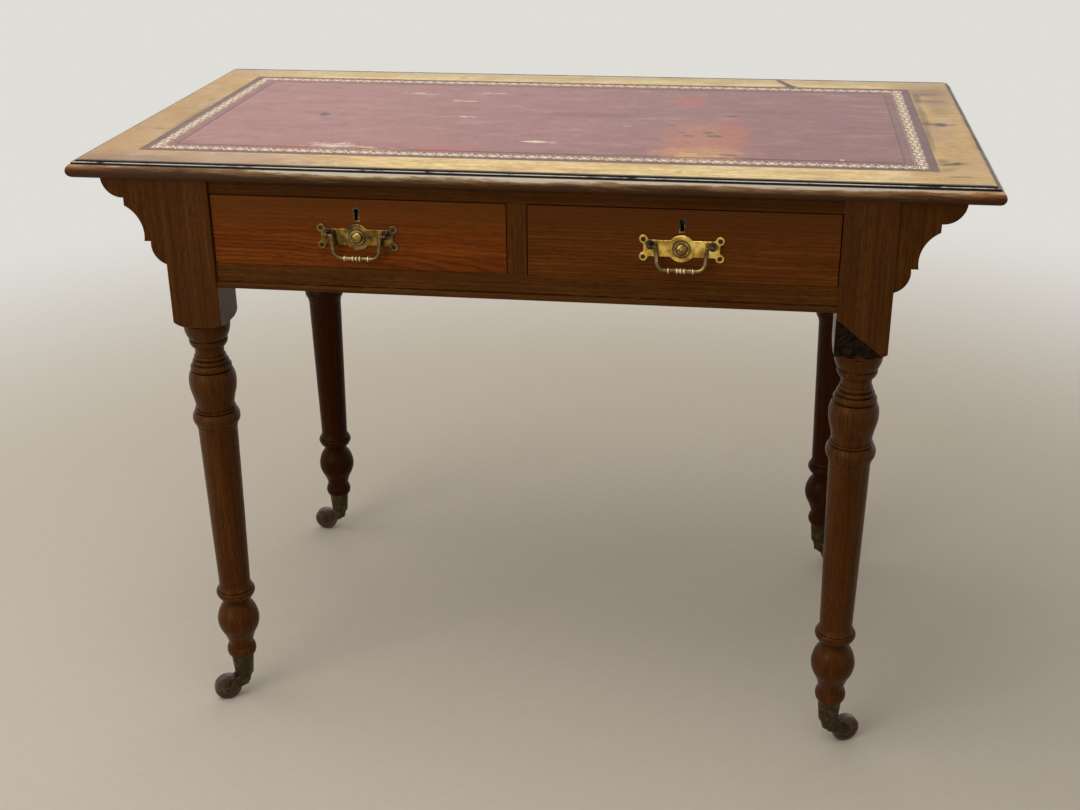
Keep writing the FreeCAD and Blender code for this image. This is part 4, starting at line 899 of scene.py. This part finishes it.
def makeGiltBorder(look):
    scroll = makeScroll(look, makeGilt(look))
    midX = insetHigh.x - look["fromEdge"]
    midY = insetHigh.y - look["fromEdge"]
    endLong = 2 * (midY + leatherPiece["bandWidth"] / 2)
    sideLong = 2 * (midX - leatherPiece["bandWidth"] / 2)
    sides = [
        makeGiltSide(scroll, "giltFront", sideLong, (0, -midY), 0, look),
        makeGiltSide(scroll, "giltRight", endLong, (midX, 0), 90, look),
        makeGiltSide(scroll, "giltBack", sideLong, (0, midY), 180, look),
        makeGiltSide(scroll, "giltLeft", endLong, (-midX, 0), 270, look),
    ]
    bpy.data.objects.remove(scroll)
    return sides


giltSides = makeGiltBorder(giltBorder)
print("gilt border tooled:", sum(len(side.data.polygons) for side in giltSides), "faces")


# torn wood where the front right leg has lost a corner

legLow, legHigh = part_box("leg_front_right")
chipPatch = {
    "foot": (0.3624, 0.5490), "wide": 0.0540, "tall": 0.0431, "cells": (54, 40), "slip": 0.0012,
    "plane": legLow.y + 0.0030, "relief": 0.0034, "grainSize": 0.0065, "thickness": 0.0008,
    "dark": (0.0040, 0.0022, 0.0012), "body": (0.016, 0.0080, 0.0035), "fibre": (0.042, 0.0230, 0.0105),
    "tip": legHigh.x - 0.0045, "fibreDegrees": 38, "fibreScale": (60, 300, 520), "fibreDeep": 0.0006,
    "cloudScale": 110.0, "gloss": 0.05,
}


def makeTornWood(look):
    material, tree, shader, place = newMaterial("tornWood", specular=look["gloss"])
    turned = stretch(tree, place, (1, 1, 1), (0, math.radians(look["fibreDegrees"]), 0))
    fibre = scaledNoise(tree, turned, look["fibreScale"], 4.0, 0.7)
    cloud = noise(tree, place, look["cloudScale"], 4.0, 0.6)
    colour = ramp(tree, cloud, [(0.34, look["dark"]), (0.62, look["body"])])
    colour = mixColour(tree, smoothRange(tree, fibre, 0.52, 0.70, 0.0, 0.8), colour, look["fibre"])
    rough = smoothRange(tree, cloud, 0.3, 0.7, 0.70, 0.90)
    finishShader(tree, shader, colour, rough, fibre, look["fibreDeep"])
    return material


def makeChipPatch(look):
    startPiece()
    columns, rows = look["cells"]
    bpy.ops.mesh.primitive_grid_add(x_subdivisions=columns, y_subdivisions=rows, size=1.0)
    piece = namePiece("chipPatch", makeTornWood(look))
    corner = Vector((look["foot"][0], look["plane"], look["foot"][1]))
    bpy.ops.object.mode_set(mode="EDIT")
    bpy.ops.mesh.select_all(action="SELECT")
    bpy.ops.transform.resize(value=(look["wide"], look["tall"], 1.0))
    bpy.ops.transform.rotate(value=-quarterTurn, orient_axis="X", center_override=(0, 0, 0))
    bpy.ops.transform.translate(value=corner + Vector((look["wide"] / 2, 0, look["tall"] / 2)))
    slope = Vector((look["tall"], 0, look["wide"]))
    bpy.ops.mesh.select_all(action="SELECT")
    slopeFoot = corner + Vector((look["wide"] - look["slip"], 0, 0))
    bpy.ops.mesh.bisect(plane_co=slopeFoot, plane_no=slope, clear_outer=True)
    bpy.ops.mesh.select_all(action="SELECT")
    bpy.ops.mesh.bisect(plane_co=(look["tip"], 0, 0), plane_no=(1, 0, 0), clear_outer=True)
    bpy.ops.object.mode_set(mode="OBJECT")
    torn = bpy.data.textures.new("torn", "MUSGRAVE")
    torn.noise_scale = look["grainSize"]
    applyModifier(piece, "DISPLACE", texture=torn, strength=-look["relief"], mid_level=0.0, direction="Y")
    applyModifier(piece, "SOLIDIFY", thickness=look["thickness"], offset=0.0)
    bpy.ops.object.shade_smooth_by_angle(angle=math.radians(35))
    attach(piece, "frame")
    return piece


chip = makeChipPatch(chipPatch)
print("torn corner made, y", round(min(v.co.y for v in chip.data.vertices), 5), "to",
      round(max(v.co.y for v in chip.data.vertices), 5))


# floor, light and camera

studio = {
    "floorSize": 30.0, "floor": (0.62, 0.54, 0.435), "floorSpeck": (0.60, 0.52, 0.415), "speckScale": 60.0,
    "fade": (0.9, 2.4), "floorGloss": 0.15,
    "sky": (0.80, 0.80, 0.78), "skyStrength": 0.38, "backdrop": (0.74, 0.725, 0.68),
    "overhead": {"place": (-0.7, -0.5, 2.7), "aim": (0, 0, 0.5), "size": (3.2, 2.4), "power": 40.0},
    "behind": {"place": (0.0, 2.9, 1.7), "aim": (0, 0, 0.7), "size": (4.4, 2.2), "power": 26.0},
    "front": {"place": (-1.9, -2.6, 1.5), "aim": (0, 0, 0.5), "size": (1.8, 1.8), "power": 30.0},
}


def seenRays(tree):
    # camera, mirror and see-through rays meet the pale backdrop
    rays = addNode(tree, "LightPath").outputs
    seen = calc(tree, "ADD", rays["Is Camera Ray"], rays["Is Glossy Ray"])
    return calc(tree, "ADD", seen, rays["Is Transmission Ray"], clamp=True)


def makeFloor(look):
    startPiece()
    bpy.ops.mesh.primitive_plane_add(size=look["floorSize"])
    material, tree, shader, place = newMaterial("paleFloor", specular=look["floorGloss"])
    speck = noise(tree, place, look["speckScale"], 3.0, 0.6)
    colour = ramp(tree, speck, [(0.3, look["floorSpeck"]), (0.7, look["floor"])])
    finishShader(tree, shader, colour, smoothRange(tree, speck, 0.3, 0.7, 0.75, 0.85))
    # far from the table the floor turns into the even backdrop
    reach = addNode(tree, "VectorMath", {0: place}, operation="LENGTH").outputs["Value"]
    far = smoothRange(tree, reach, *look["fade"])
    backdrop = calc(tree, "MULTIPLY", far, seenRays(tree))
    glow = addNode(tree, "Emission", {"Color": opaque(look["backdrop"])})
    mix = addNode(tree, "MixShader", {0: backdrop, 1: shader.outputs[0], 2: glow.outputs[0]})
    tree.links.new(mix.outputs[0], tree.nodes["Material Output"].inputs["Surface"])
    floor = namePiece("floor", material)


def makeWorld(look):
    world = bpy.data.worlds.new("studio")
    bpy.context.scene.world = world
    world.use_nodes = True
    tree = world.node_tree
    tree.nodes.clear()
    light = addNode(tree, "Background", {"Color": opaque(look["sky"]), "Strength": look["skyStrength"]})
    shown = addNode(tree, "Background", {"Color": opaque(look["backdrop"]), "Strength": 1.0})
    seen = seenRays(tree)
    mix = addNode(tree, "MixShader", {0: seen, 1: light.outputs[0], 2: shown.outputs[0]})
    tree.links.new(mix.outputs[0], addNode(tree, "OutputWorld").inputs["Surface"])


def makeLamp(name, look):
    lamp = bpy.data.lights.new(name, "AREA")
    lamp.shape = "RECTANGLE"
    lamp.size, lamp.size_y = look["size"]
    lamp.energy = look["power"]
    holder = bpy.data.objects.new(name, lamp)
    bpy.context.scene.collection.objects.link(holder)
    holder.location = look["place"]
    holder.rotation_euler = (Vector(look["aim"]) - Vector(look["place"])).to_track_quat("-Z", "Y").to_euler()
    holder.visible_camera = False


cameraView = {"place": (0.2678, -1.8422, 1.1656), "aim": (-0.0133, -0.0334, 0.3597), "rollDegrees": -0.62,
              "lens": 48.49, "sensor": 36.0}


def makeCamera(look):
    camera = bpy.data.objects.new("camera", bpy.data.cameras.new("camera"))
    bpy.context.scene.collection.objects.link(camera)
    camera.data.lens = look["lens"]
    camera.data.sensor_width = look["sensor"]
    camera.location = look["place"]
    facing = (Vector(look["aim"]) - Vector(look["place"])).to_track_quat("-Z", "Y")
    roll = Quaternion((0, 0, 1), math.radians(look["rollDegrees"]))
    camera.rotation_euler = (facing @ roll).to_euler()
    bpy.context.scene.camera = camera


makeFloor(studio)
makeWorld(studio)
for lampName in ("overhead", "behind", "front"):
    makeLamp(lampName, studio[lampName])
makeCamera(cameraView)
bpy.context.scene.view_settings.view_transform = "Standard"
print("stage lit")
